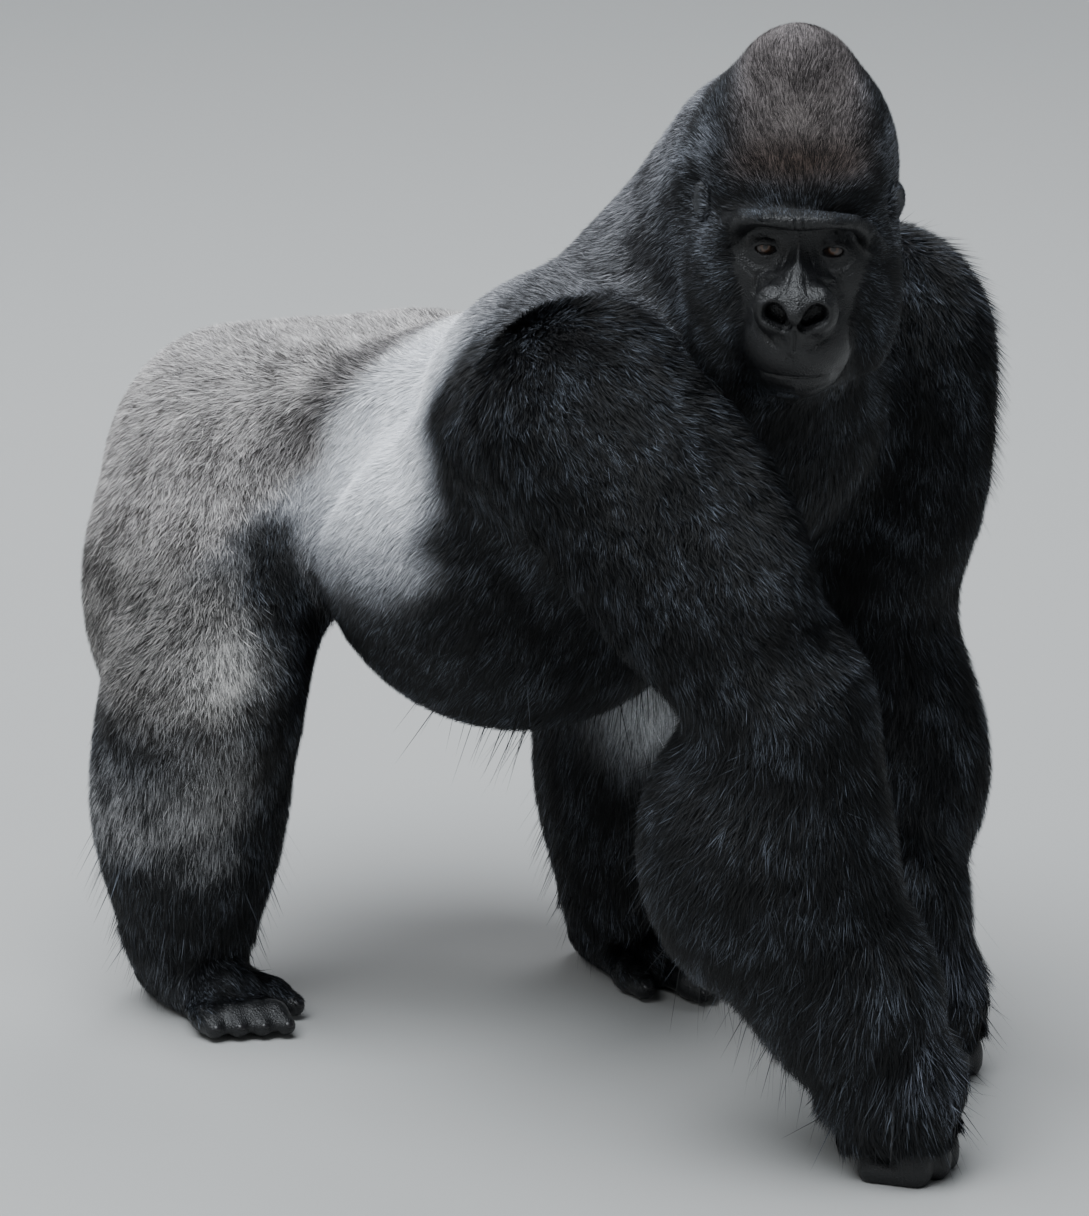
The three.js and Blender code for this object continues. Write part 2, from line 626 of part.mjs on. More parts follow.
addTrunk();
addNeckAndHead();
addFace();
addEars();
SIDES.forEach(addArm);
SIDES.forEach(addLeg);

// The origin goes to the floor under the middle of the whole.
const box = new THREE.Box3().setFromObject(gorilla);
gorilla.position.set(-(box.min.x + box.max.x) / 2, -(box.min.y + box.max.y) / 2, -box.min.z);

export default gorilla;
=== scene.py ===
"""Looks for a life-size silverback gorilla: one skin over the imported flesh, its coat, eyes and nails."""

import math

import bmesh
import bpy
import numpy as np
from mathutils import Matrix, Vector


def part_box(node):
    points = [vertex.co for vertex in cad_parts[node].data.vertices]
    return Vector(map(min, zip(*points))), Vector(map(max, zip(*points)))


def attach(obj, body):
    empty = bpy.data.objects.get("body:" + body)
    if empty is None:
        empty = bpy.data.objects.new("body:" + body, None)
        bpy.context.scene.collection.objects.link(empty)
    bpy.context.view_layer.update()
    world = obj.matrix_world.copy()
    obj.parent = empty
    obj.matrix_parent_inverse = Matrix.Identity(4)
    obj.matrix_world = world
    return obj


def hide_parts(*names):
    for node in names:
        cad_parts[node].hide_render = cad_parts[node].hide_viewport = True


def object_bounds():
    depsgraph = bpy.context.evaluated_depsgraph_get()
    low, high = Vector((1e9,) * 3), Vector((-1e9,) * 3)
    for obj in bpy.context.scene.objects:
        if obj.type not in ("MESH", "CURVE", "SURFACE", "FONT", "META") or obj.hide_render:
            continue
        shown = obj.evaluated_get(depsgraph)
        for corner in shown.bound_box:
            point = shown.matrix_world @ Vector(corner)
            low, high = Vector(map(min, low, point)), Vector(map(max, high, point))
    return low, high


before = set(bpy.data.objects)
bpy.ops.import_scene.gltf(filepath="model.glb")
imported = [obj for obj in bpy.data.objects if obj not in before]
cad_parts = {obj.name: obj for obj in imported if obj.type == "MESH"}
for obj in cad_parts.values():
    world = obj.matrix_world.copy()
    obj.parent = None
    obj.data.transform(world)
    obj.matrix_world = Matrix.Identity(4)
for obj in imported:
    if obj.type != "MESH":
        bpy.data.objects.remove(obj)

cad_box = [[float(v) for v in corner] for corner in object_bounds()]

# The body is worked out in the part's own millimetres, and its meshes are made in the frame's metres.
MM = 0.001
SIDES = {"right": -1, "left": 1}
RANDOM_SEED = 7

# ---------------------------------------------------------------- driving dimensions, in millimetres

JOINTS = {
    "right": dict(
        shoulder=(300, -240, 801), elbow=(533, -168, 520), wrist=(578, -122, 165), knuckle=(636, -76, 82),
        swell=(-60, 30, -46), hand_turn=25,
        hip=(-345, -140, 596), knee=(-288, -262, 385), ankle=(-350, -236, 95), foot_turn=-12),
    "left": dict(
        shoulder=(308, 218, 818), elbow=(286, 234, 470), wrist=(376, 172, 160), knuckle=(438, 166, 82),
        swell=(-14, 32, -20), hand_turn=-8,
        hip=(-330, 140, 596), knee=(-82, 240, 361), ankle=(-86, 222, 95), foot_turn=-8),
}
HEAD = dict(origin=(520, -140, 1013), yaw=-45, pitch=12, face_turn=-5)
EYE = dict(radius=12.5, f=-8, l=36, t=-2)
EAR = {"right": (-58, -101, 30), "left": (-62, 102, 27)}

# How deep the skin lies under the tips of the coat.
COAT_DEPTH = dict(trunk=10, neck=12, arm=13, hand=3, hand_hair=20, leg=11, foot=3, cranium=8, cheek=12,
                  pocket=4, face=0, ear=0)
NO_COAT = dict.fromkeys(COAT_DEPTH, 0)

# The side of the grid cells from which the skin's mesh starts, and the lowest that it reaches.
SKIN_STEP = 11.5
SOLE_HEIGHT = 0.4

# ---------------------------------------------------------------- forms, as signed distances
# A form takes places as three rows, x, y and z, and gives their distances from its surface, negative
# inside.


def melt(a, b, k):
    """The smooth minimum of two distances: forms melt into each other over a width of k."""
    h = np.maximum(k - np.abs(a - b), 0) / k
    return np.minimum(a, b) - h * h * k / 4


def bar(a, b, ra, rb=None, belly=0.0):
    """A bar from a to b with a radius at each end, which swells by belly at mid-length."""
    rb = ra if rb is None else rb
    wx, wy, wz = (v - u for u, v in zip(a, b))
    length2 = wx * wx + wy * wy + wz * wz

    def form(p):
        dx, dy, dz = p[0] - a[0], p[1] - a[1], p[2] - a[2]
        t = np.minimum(np.maximum((dx * wx + dy * wy + dz * wz) / length2, 0), 1)
        dx -= t * wx
        dy -= t * wy
        dz -= t * wz
        d = np.sqrt(dx * dx + dy * dy + dz * dz) - (ra + (rb - ra) * t)
        return d - belly * 4 * t * (1 - t) if belly else d
    return form


def mass(centre, radii, pitch=0.0, yaw=0.0):
    """A rounded mass: an ellipsoid. In degrees, pitch lifts its front and yaw turns it left."""
    ra, rb, rc = radii
    cp, sp = math.cos(math.radians(pitch)), math.sin(math.radians(pitch))
    cw, sw = math.cos(math.radians(yaw)), math.sin(math.radians(yaw))

    def form(p):
        dx, dy, dz = p[0] - centre[0], p[1] - centre[1], p[2] - centre[2]
        along = dx * cw + dy * sw
        u, v, w = (along * cp + dz * sp) / ra, (dy * cw - dx * sw) / rb, (dz * cp - along * sp) / rc
        reach = np.sqrt(u * u + v * v + w * w)
        slope = np.sqrt((u / ra) ** 2 + (v / rb) ** 2 + (w / rc) ** 2) + 1e-9
        return reach * (reach - 1) / slope
    return form


def paired(form):
    """The same form on both sides of the middle plane."""
    return lambda p: form(np.stack([p[0], np.abs(p[1]), p[2]]))


def joined(k, forms):
    """Forms melted into one over a width of k."""
    def form(p):
        d = forms[0](p)
        for other in forms[1:]:
            d = melt(d, other(p), k)
        return d
    return form


def hollowed(k, solid, forms):
    """A solid with other forms taken out of it, its edges rounded over a width of k."""
    def form(p):
        d = solid(p)
        for other in forms:
            d = -melt(-d, other(p), k)
        return d
    return form


def sunk(form, depth):
    """A form whose surface lies deeper by the depth given."""
    return lambda p: form(p) + depth


def nearby(form, centre, radius, margin=60):
    """A form that is worked out only near a ball that holds it."""
    def quick(p):
        d = np.sqrt(sum((row - c) ** 2 for row, c in zip(p, centre))) - radius
        near = d < margin
        if near.any():
            d[near] = form(p[:, near])
        return d
    return quick


def step_between(low, high, v):
    """0 below low, 1 above high, and smooth between; high may be the lower of the two."""
    t = np.clip((v - low) / (high - low), 0, 1)
    return t * t * (3 - 2 * t)


def between(a, b, t):
    """The place that is a share t of the way from a to b."""
    return tuple(u + (v - u) * t for u, v in zip(a, b))


TRUNK = joined(70, [
    mass((200, 0, 750), (252, 226, 196), 20),                    # rib cage
    mass((-36, 0, 590), (232, 250, 240), 11),                    # belly
    mass((238, 0, 866), (170, 146, 120), 45),                    # hump of the upper back
    paired(mass((150, 145, 801), (180, 95, 125), 26)),           # shoulder blades
    bar((-260, 0, 656), (60, 0, 671), 120, 150),                 # loins
    mass((-364, -10, 614), (196, 185, 162)),                     # pelvis
    paired(mass((-262, 112, 694), (165, 74, 84), 3, -5)),        # crests of the hip bones
    mass((-452, -108, 600), (124, 116, 166), -20),               # seats, the right one higher
    mass((-434, 104, 574), (122, 114, 156), -20),
])
TRUNK = hollowed(40, TRUNK, [paired(bar((-60, 192, 778), (-192, 224, 625), 36, 40))])
NECK = joined(60, [
    bar((262, 0, 906), (384, -50, 1064), 148, 115),
    bar((320, 0, 816), (440, -80, 925), 140, 90),
])


def arm_form(shoulder, elbow, wrist, swell):
    """Shoulder, upper arm and forearm; swell is where the forearm's mass lies from a third down it."""
    out = math.copysign(1, shoulder[1])
    upper, fore = between(shoulder, elbow, 0.45), between(elbow, wrist, 0.36)
    lean = math.degrees(math.atan2(elbow[0] - shoulder[0], shoulder[2] - elbow[2]))

    def near(place, forward, outward, up):
        return (place[0] + forward, place[1] + out * outward, place[2] + up)
    return joined(45, [
        mass(near(shoulder, 5, 8, 16), (125, 94, 125)),          # deltoid
        bar(near(shoulder, -136, -56, -34), shoulder, 98, 116),
        bar(shoulder, elbow, 116, 90, 14),
        mass(near(upper, 56, 0, 44), (98, 84, 175), lean),       # biceps
        mass(near(upper, -12, 8, 8), (92, 84, 152), lean),       # triceps
        bar(elbow, wrist, 93, 84, 8),
        mass(near(fore, *swell), (130, 116, 168), 8),            # forearm
        mass(near(wrist, -42, 0, 48), (92, 84, 92)),             # long hair above the wrist
        mass(near(wrist, 34, -14, 20), (86, 80, 108)),
    ])


def beside(joint, turn):
    """Places beside a joint, from steps forward and outward of it and a height."""
    out = math.copysign(1, joint[1])
    cw, sw = math.cos(math.radians(turn)), math.sin(math.radians(turn))

    def at(forward, outward, z):
        left = outward * out
        return (joint[0] + forward * cw - left * sw, joint[1] + forward * sw + left * cw, z)
    return at


def hand_form(wrist, knuckle, turn):
    """The hand stands on the backs of its folded fingers."""
    at = beside(knuckle, turn)
    forms = [bar(wrist, at(-6, 0, 96), 62, 50)]
    for finger in range(4):
        side = (finger - 1.5) * 31
        reach = -9 if finger in (0, 3) else 3
        forms.append(bar(at(reach, side, 84), at(reach + 30, side, 30), 25, 20))
        forms.append(bar(at(reach + 30, side, 13), at(reach - 18, side, 11), 20, 18))
        forms.append(bar(at(reach - 18, side, 17), at(reach - 32, side * 0.9, 46), 16, 13))
    forms.append(bar(at(-30, -46, 104), at(-10, -68, 58), 21, 14))
    return joined(12, forms)


def hand_hair_form(wrist, knuckle, turn):
    """The long hair over the back of the hand."""
    x, y, _ = between(wrist, knuckle, 0.5)
    return mass((x + 14, y, 108), (94, 86, 98), 0, turn)


def leg_form(hip, knee, ankle):
    """Thigh and shank."""
    out = math.copysign(1, hip[1])
    thigh, calf = between(hip, knee, 0.4), between(knee, ankle, 0.34)
    return joined(50, [
        bar(hip, knee, 148, 104),
        mass((thigh[0] - 70, thigh[1] + out * 16, thigh[2] - 26), (122, 110, 190)),
        bar(knee, ankle, 108, 84, 12),
        mass((calf[0] - 30, calf[1] + out * 6, calf[2] - 20), (104, 94, 156)),
    ])


def foot_form(ankle, turn):
    """The foot stands flat, with the great toe set apart on the inner side."""
    at = beside(ankle, turn)
    forms = [
        bar(ankle, at(-8, 0, 62), 60, 52),
        bar(at(-48, 0, 34), at(70, 4, 34), 42, 40),
        bar(at(-30, 0, 30), at(90, 18, 26), 40, 34),
        bar(at(-10, -12, 30), at(80, -22, 26), 38, 30),
        bar(at(20, -30, 26), at(86, -60, 22), 26, 20),
        bar(at(86, -60, 20), at(124, -68, 17), 20, 16),
    ]
    for toe in range(4):
        side = toe * 24 - 24
        reach = 178 - toe * 11
        forms.append(bar(at(96, side * 0.8, 22), at(reach - 24, side, 22), 20, 17))
        forms.append(bar(at(reach - 24, side, 21), at(reach, side * 1.05, 15), 17, 14))
    return joined(14, forms)


# The head's own frame: f forward, l to its left and t up, from midway between the eyes.
def head_axes():
    yaw, pitch = math.radians(HEAD["yaw"]), math.radians(HEAD["pitch"])
    forward = (math.cos(pitch) * math.cos(yaw), math.cos(pitch) * math.sin(yaw), -math.sin(pitch))
    leftward = (-math.sin(yaw), math.cos(yaw), 0)
    upward = (math.sin(pitch) * math.cos(yaw), math.sin(pitch) * math.sin(yaw), math.cos(pitch))
    return np.array([forward, leftward, upward])


HEAD_AXES = head_axes()


def to_head(p):
    """Places, as rows of x, y and z, in the head's frame, as rows of f, l and t."""
    return HEAD_AXES @ (p - np.array(HEAD["origin"])[:, None])


def from_head(q):
    return np.asarray(q, float) @ HEAD_AXES + HEAD["origin"]


def in_head(form):
    return lambda p: form(to_head(p))


def turn_of_face():
    """The face is turned a little to the left or right of the rest of the head."""
    c, s = math.cos(math.radians(HEAD["face_turn"])), math.sin(math.radians(HEAD["face_turn"]))
    return np.array([(c, s, 0), (-s, c, 0), (0, 0, 1)])


FACE_TURN = turn_of_face()


def to_face(p):
    return FACE_TURN @ to_head(p)


def from_face(q):
    return from_head(np.asarray(q, float) @ FACE_TURN)


def turned(form):
    """A form of the face, stated in the face's own frame and asked for in the head's."""
    return lambda q: form(FACE_TURN @ q)


CRANIUM = joined(34, [
    mass((-96, 0, 24), (100, 88, 90)),                           # braincase
    mass((-122, 0, 108), (82, 78, 96), -6),                      # crest
    paired(mass((-98, 58, 54), (76, 52, 92))),                   # temples
    mass((-42, 0, 40), (42, 58, 32), -34),                       # forehead
])
CHEEKS = joined(34, [
    paired(mass((-66, 74, -62), (76, 42, 106), 14)),             # jaw muscles under long hair
    mass((-60, 0, -104), (88, 78, 74)),                          # throat
])
BROW = [(18, 0, 38), (15, 34, 38), (5, 56, 32), (-6, 70, 19), (-16, 76, -2)]
FACE = joined(9, [
    joined(24, [
        mass((-8, 0, -60), (50, 50, 62)),                        # upper jaw
        paired(mass((-34, 48, -34), (44, 38, 46))),              # cheekbones
        bar((-10, 0, 4), (36, 0, -36), 11, 23),                  # root of the nose
        mass((18, 0, -94), (56, 60, 48)),                        # muzzle
        mass((0, 0, -128), (52, 46, 37)),                        # lower jaw
    ]),
    paired(joined(0.5, [bar(a, b, 9.5) for a, b in zip(BROW, BROW[1:])])),
    bar((2, 0, 12), (50, 0, -26), 5, 9),                         # bridge of the nose
    paired(mass((54, 23, -47), (24, 22, 28))),                   # wings of the nose
    mass((58, 0, -44), (20, 22, 24)),
    mass((74, 0, -44), (8, 9, 8)),                               # tip of the nose
    bar((62, 0, -66), (69, 0, -83), 17, 7),                      # the heart's point, above the lip
    paired(bar((54, 0, -128), (46, 30, -125), 8, 5)),            # lower lip
])
SOCKETS = paired(mass((22, 42, 7), (20, 38, 21)))
NOSTRILS = paired(joined(4, [
    bar((76, 24, -43), (73, 11, -54), 13, 8.5),
    bar((61, 21, -45), (59, 11, -54), 10, 7),
]))
LIDS = paired(mass((EYE["f"], EYE["l"], EYE["t"]), (14.8, 14.8, 14.8)))
EYE_OPENINGS = paired(mass((6, 36, -1), (12, 12, 5)))
MOUTH = mass((78, 0, -119), (26, 48, 1.3))

# Creases of the face, each drawn in l and t as seen from its front: width, depth and line, on both sides.
CREASES = [
    (1.8, 1.3, [(17, -9), (30, -17), (46, -17), (58, -9)]),      # under the eyes
    (2.2, 1.3, [(14, -17), (30, -28), (48, -27), (63, -14)]),
    (1.6, 1.3, [(24, 9), (36, 13), (48, 9)]),                    # upper lids
    (1.6, 1.6, [(9, 4), (16, -12), (30, -26), (42, -34)]),       # beside the nose
    (1.4, 1.3, [(6, -8), (12, -22), (24, -32)]),
    (1.3, 2.0, [(4.5, 28), (4.5, 46)]),                          # between the brows
    (1.2, 0.9, [(11, 31), (12, 44)]),
    (1.2, 0.8, [(24, 42), (44, 39), (60, 32)]),                  # along the brow
    (3.0, 2.6, [(47, -46), (43, -26), (32, -17), (14, -15)]),    # round the nose
    (3.0, 2.2, [(46, -56), (34, -73), (14, -86)]),
    (2.0, 2.4, [(0, -62), (0, -84)]),                            # down the middle of the lip
    (4.0, 1.6, [(50, -62), (60, -84), (62, -104)]),              # from the nose to the mouth's corner
    (5.0, 1.2, [(40, -119), (46, -124), (50, -134)]),
]


def ear_pocket(place):
    """The coat is short round the ear, which stands in a shallow pocket of it."""
    f, l, t = place
    return mass((f + 16, l + math.copysign(16, l), t), (34, 22, 34))


def ear_form(place):
    """The ear leans back from the side of the head, with its bowl facing forward and out."""
    f, l, t = place
    out = math.copysign(1, l)
    return hollowed(4, mass(place, (15, 9, 21), 0, -out * 32),
                    [mass((f + 10, l + out * 6, t + 1), (10, 8, 14), 0, -out * 32)])


def animal(depth):
    """The whole animal's surface, with each form sunk by its coat's depth."""
    limbs = []
    for j in JOINTS.values():
        arm = sunk(arm_form(j["shoulder"], j["elbow"], j["wrist"], j["swell"]), depth["arm"])
        of_hand = j["wrist"], j["knuckle"], j["hand_turn"]
        hand = joined(20, [sunk(hand_form(*of_hand), depth["hand"]),
                           sunk(hand_hair_form(*of_hand), depth["hand_hair"])])
        hand = nearby(hand, j["knuckle"], 150)
        leg = sunk(leg_form(j["hip"], j["knee"], j["ankle"]), depth["leg"])
        foot = nearby(sunk(foot_form(j["ankle"], j["foot_turn"]), depth["foot"]), j["ankle"], 230)
        limbs += [joined(16, [arm, hand]), joined(16, [leg, foot])]
    body = joined(52, [joined(60, [sunk(TRUNK, depth["trunk"]), sunk(NECK, depth["neck"])]), *limbs])
    skull = joined(34, [sunk(CRANIUM, depth["cranium"]), sunk(CHEEKS, depth["cheek"])])
    head = hollowed(14, joined(22, [skull, turned(sunk(FACE, depth["face"]))]), [turned(SOCKETS)])
    head = hollowed(5, joined(9, [head, turned(LIDS)]), [turned(NOSTRILS)])
    head = hollowed(2.5, head, [turned(EYE_OPENINGS), turned(MOUTH)])
    head_middle = from_head((-60, 0, 10))
    whole = joined(46, [body, nearby(in_head(head), head_middle, 230)])
    pockets = joined(1, [in_head(sunk(ear_pocket(place), -depth["pocket"])) for place in EAR.values()])
    whole = hollowed(14, whole, [nearby(pockets, head_middle, 150)])
    ears = joined(1, [in_head(sunk(ear_form(place), depth["ear"])) for place in EAR.values()])
    return joined(4, [whole, nearby(ears, head_middle, 150)])


outer_form = animal(NO_COAT)
skin_form = animal(COAT_DEPTH)

# ---------------------------------------------------------------- meshes from forms

TETRAHEDRON = np.array([(1, 1, 1), (1, -1, -1), (-1, 1, -1), (-1, -1, 1)], float)


def value_and_slope(form, p, e=0.6):
    """A form's value at places and the direction in which it grows, from a small tetrahedron's corners."""
    rows = np.ascontiguousarray(p.T)
    at = [form(rows + corner[:, None] * e) for corner in TETRAHEDRON]
    slope = sum(v[:, None] * corner for v, corner in zip(at, TETRAHEDRON)) / (4 * e)
    return sum(at) / 4, slope


def unit(v):
    return v / np.maximum(np.linalg.norm(v, axis=-1, keepdims=True), 1e-9)


def sampled(form, axes, block=4):
    """A form on a grid, worked out only in the blocks that its surface may cross."""
    shape = [len(a) for a in axes]
    value = np.ones(shape, np.float32)
    step = axes[0][1] - axes[0][0]
    reach = step * block * 1.3
    corners = [np.arange(0, n, block) for n in shape]
    grid = np.stack(np.meshgrid(*corners, indexing="ij"), -1).reshape(-1, 3)
    low = np.array([a[0] for a in axes])
    centre = low + (grid + (block - 1) / 2) * step
    rough = form(centre.T)
    inner = np.stack(np.meshgrid(*[np.arange(block)] * 3, indexing="ij"), -1).reshape(-1, 3)
    for near in (False, True):
        alike = (np.abs(rough) < reach) == near
        cells = (grid[alike][:, None] + inner).reshape(-1, 3)
        sign = np.repeat(np.sign(rough[alike]), len(inner))
        kept = (cells < shape).all(1)
        cells, sign = cells[kept], sign[kept]
        value[tuple(cells.T)] = form((low + cells * step).T.copy()) if near else sign
    return value


def surface_nets(form, low, high, step):
    """A mesh of quads near a form's surface: a point in each grid cell that the surface crosses."""
    axes = [np.arange(a, b + step, step) for a, b in zip(low, high)]
    inside = sampled(form, axes) < 0
    cells = np.zeros([n - 1 for n in inside.shape], np.int8)
    for corner in np.ndindex(2, 2, 2):
        cells += inside[tuple(slice(c, c + n) for c, n in zip(corner, cells.shape))]
    crossed = (cells > 0) & (cells < 8)
    number = np.full(cells.shape, -1)
    number[crossed] = np.arange(crossed.sum())
    points = np.array(low) + (np.argwhere(crossed) + 0.5) * step
    quads = []
    for axis in range(3):
        ahead = np.roll(inside, -1, axis)
        change = inside != ahead
        i, j, k = np.nonzero(change[1:-1, 1:-1, 1:-1])
        at = np.stack([i, j, k], 1) + 1
        one, two = np.eye(3, dtype=int)[(axis + 1) % 3], np.eye(3, dtype=int)[(axis + 2) % 3]
        ring = [number[tuple((at - step_back).T)] for step_back in (one + two, two, 0, one)]
        quad = np.stack(ring, 1)
        out = inside[tuple(at.T)]
        quads.append(np.where(out[:, None], quad, quad[:, ::-1]))
    return points, np.concatenate(quads)


def edges_of(mesh):
    pairs = np.zeros(len(mesh.edges) * 2, int)
    mesh.edges.foreach_get("vertices", pairs)
    return pairs.reshape(-1, 2)


def points_of(mesh):
    co = np.zeros(len(mesh.vertices) * 3)
    mesh.vertices.foreach_get("co", co)
    return co.reshape(-1, 3)


def neighbour_mean(values, edges):
    """For each point of a mesh, the mean of its neighbours' values."""
    total = np.zeros_like(values)
    for m in range(values.shape[1]):
        total[:, m] = np.bincount(edges[:, 0], values[edges[:, 1], m], len(values))
        total[:, m] += np.bincount(edges[:, 1], values[edges[:, 0], m], len(values))
    return total / np.maximum(np.bincount(edges.ravel(), minlength=len(values)), 1)[:, None]


def settled(points, edges, form, passes, moving, ease=0.6):
    """Evens out the moving points of a mesh and draws them onto a form's surface."""
    points = points.copy()
    for _ in range(passes):
        here = points[moving]
        value, slope = value_and_slope(form, here)
        normal = unit(slope)
        steep = np.maximum(np.linalg.norm(slope, axis=1), 0.5)
        drift = ease * (neighbour_mean(points, edges)[moving] - here)
        drift -= (drift * normal).sum(1, keepdims=True) * normal
        points[moving] = here + drift - normal * np.clip(value / steep, -6, 6)[:, None]
    return points


def refined(mesh, chosen):
    """Cuts each chosen face of a mesh in four."""
    bm = bmesh.new()
    bm.from_mesh(mesh)
    bm.faces.ensure_lookup_table()
    edges = {edge for face in np.array(bm.faces)[chosen] for edge in face.edges}
    bmesh.ops.subdivide_edges(bm, edges=list(edges), cuts=1, use_grid_fill=True)
    bm.to_mesh(mesh)
    bm.free()


def face_centres(mesh):
    centre = np.zeros(len(mesh.polygons) * 3)
    mesh.polygons.foreach_get("center", centre)
    return centre.reshape(-1, 3)


def in_fine_region(p, level):
    """Where the skin's mesh is refined: hands, feet, ears and face first, then the face, then its eyes."""
    f, l, t = to_head(p.T)
    face = (f > -24 + 10 * level) & (np.abs(l) < 86 - 7 * level)
    face &= (t > -180 + 14 * level) & (t < 58 - 2 * level)
    ears = np.any([np.hypot(np.hypot(f - a, l - b), t - c) < 34 for a, b, c in EAR.values()], axis=0)
    hands_and_feet = p[:, 2] < 105
    if level < 3:
        return face | (ears & (level < 2)) | (hands_and_feet & (level < 1))
    return (f > -8) & (np.abs(np.abs(l) - EYE["l"]) < 21) & (np.abs(t - EYE["t"]) < 12)


def creased(points, normal):
    """Presses the creases of the face into the points on it."""
    f, l, t = to_face(points.T)
    fore = step_between(0.05, 0.35, (normal @ (FACE_TURN @ HEAD_AXES).T)[:, 0]) * step_between(-26, -16, f)
    sink = np.zeros(len(points))
    near = fore > 0
    place = np.stack([np.abs(l), t], 1)[near]
    for width, depth, line in CREASES:
        strength = np.zeros(len(place))
        run = np.cumsum([0] + [math.dist(a, b) for a, b in zip(line, line[1:])])
        for at, (a, b) in enumerate(zip(line, line[1:])):
            along = np.clip((place - a) @ np.subtract(b, a) / math.dist(a, b) ** 2, 0, 1)
            away = np.hypot(*(place - a - along[:, None] * np.subtract(b, a)).T)
            whole = (run[at] + along * math.dist(a, b)) / run[-1]
            taper = np.sqrt(np.clip(4 * whole * (1 - whole), 0, 1)) if line[0][0] else 1
            strength = np.maximum(strength, taper * np.exp(-(away / width) ** 2))
        sink[near] = np.maximum(sink[near], depth * strength)
    return points - normal * (sink * fore)[:, None]


def skin_mesh():
    margin = 3 * SKIN_STEP
    offset = np.array(FRAME_SHIFT) / MM
    low = np.array(cad_box[0]) / MM - offset - margin
    high = np.array(cad_box[1]) / MM - offset + margin
    points, quads = surface_nets(skin_form, low, high, SKIN_STEP)
    mesh = bpy.data.meshes.new("skin")
    mesh.from_pydata(points.tolist(), [], quads.tolist())
    moving = np.ones(len(points), bool)
    for level in range(5):
        points = settled(points_of(mesh), edges_of(mesh), skin_form, 6 if level == 0 else 3, moving)
        mesh.vertices.foreach_set("co", points.ravel())
        mesh.update()
        if level < 4:
            refined(mesh, in_fine_region(face_centres(mesh), level))
            moving = in_fine_region(points_of(mesh), level)
    # Soles and knuckles lie flat on the floor.
    points[:, 2] = np.maximum(points[:, 2], SOLE_HEIGHT)
    mesh.vertices.foreach_set("co", points.ravel())
    mesh.update()
    return mesh


def frame_shift():
    """From the part's own origin to the frame's, in metres, by where the left eye lies in both."""
    low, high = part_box("eye_left")
    eye = from_face((EYE["f"], EYE["l"], EYE["t"])) * MM
    return [float((a + b) / 2 - c) for a, b, c in zip(low, high, eye)]


FRAME_SHIFT = frame_shift()


def to_frame(points):
    return points * MM + FRAME_SHIFT


# ---------------------------------------------------------------- regions, lie and markings of the coat


def region_forms():
    forms = {"trunk": TRUNK, "neck": NECK}
    for side, j in JOINTS.items():
        forms[f"arm_{side}"] = arm_form(j["shoulder"], j["elbow"], j["wrist"], j["swell"])
        forms[f"hand_{side}"] = hand_form(j["wrist"], j["knuckle"], j["hand_turn"])
        forms[f"leg_{side}"] = leg_form(j["hip"], j["knee"], j["ankle"])
        forms[f"foot_{side}"] = foot_form(j["ankle"], j["foot_turn"])
        forms[f"ear_{side}"] = in_head(ear_form(EAR[side]))
    forms["cranium"] = in_head(CRANIUM)
    forms["cheeks"] = in_head(CHEEKS)
    forms["face"] = in_head(FACE)
    return forms


def shares_of(p, blur=14.0):
    """How much each region counts at each place, adding up to 1."""
    rows = p.T.copy()
    distance = {name: form(rows) for name, form in region_forms().items()}
    nearest = np.min(list(distance.values()), axis=0)
    weight = {name: np.exp(-(d - nearest) / blur) for name, d in distance.items()}
    total = sum(weight.values())
    return {name: w / total for name, w in weight.items()}


def both(shares, name):
    return shares[f"{name}_right"] + shares[f"{name}_left"]


def bare_face(q):
    """1 on the bare skin of the face, 0 in the coat, from places in the face's frame."""
    f, l, t = q
    half_width = 60 + 12 * step_between(-60, 0, t) - 16 * step_between(-110, -170, t)
    sides = step_between(half_width + 7, half_width - 7, np.abs(l))
    top = step_between(47, 42, t + 0.12 * np.abs(l))
    bottom = step_between(-142, -128, t)
    return sides * top * bottom * step_between(-24, -8, f)


def lie_of_coat(p, normal, shares):
    """The direction in which the coat lies, along the skin."""
    x, y, z = p.T
    _, l, t = to_head(p.T)
    out = np.sign(y)
    flank = step_between(0.95, 0.35, normal[:, 2])
    zero = np.zeros_like(x)
    trunk = np.stack([-1 + 0.35 * flank, 0.15 * out * flank, -0.95 * flank], 1)
    neck = np.stack([-0.8 + zero, 0.12 * out, -0.75 + zero], 1)
    lie = shares["trunk"][:, None] * unit(trunk) + shares["neck"][:, None] * unit(neck)
    for side, j in JOINTS.items():
        shoulder, elbow, wrist = (np.array(j[name], float) for name in ("shoulder", "elbow", "wrist"))
        upper, fore = unit(elbow - shoulder), unit(wrist - elbow)
        lower = step_between(elbow[2] + 60, elbow[2] - 60, z)[:, None]
        arm = unit(upper * (1 - lower) + (fore + (-0.55, 0, 0)) * lower)
        leg = np.stack([-0.12 + zero, 0.05 * SIDES[side] + zero, -1 + zero], 1)
        hand = np.stack([0.45 + zero, zero, -0.9 + zero], 1)
        foot = np.stack([0.8 + zero, zero, -0.55 + zero], 1)
        for name, way in (("arm", arm), ("leg", leg), ("hand", hand), ("foot", foot)):
            lie += shares[f"{name}_{side}"][:, None] * unit(way)
    # On the head the coat runs away from the middle of the face, and hangs down at the sides and below.
    radial = np.stack([-0.75 + zero, l / 75, (t + 10) / 75 - 0.35 * step_between(60, 0, t)], 1)
    head = unit(radial) @ HEAD_AXES
    on_head = shares["cranium"] + shares["cheeks"] + shares["face"] + both(shares, "ear")
    lie += on_head[:, None] * head
    lie -= (lie * normal).sum(1, keepdims=True) * normal
    return unit(lie)


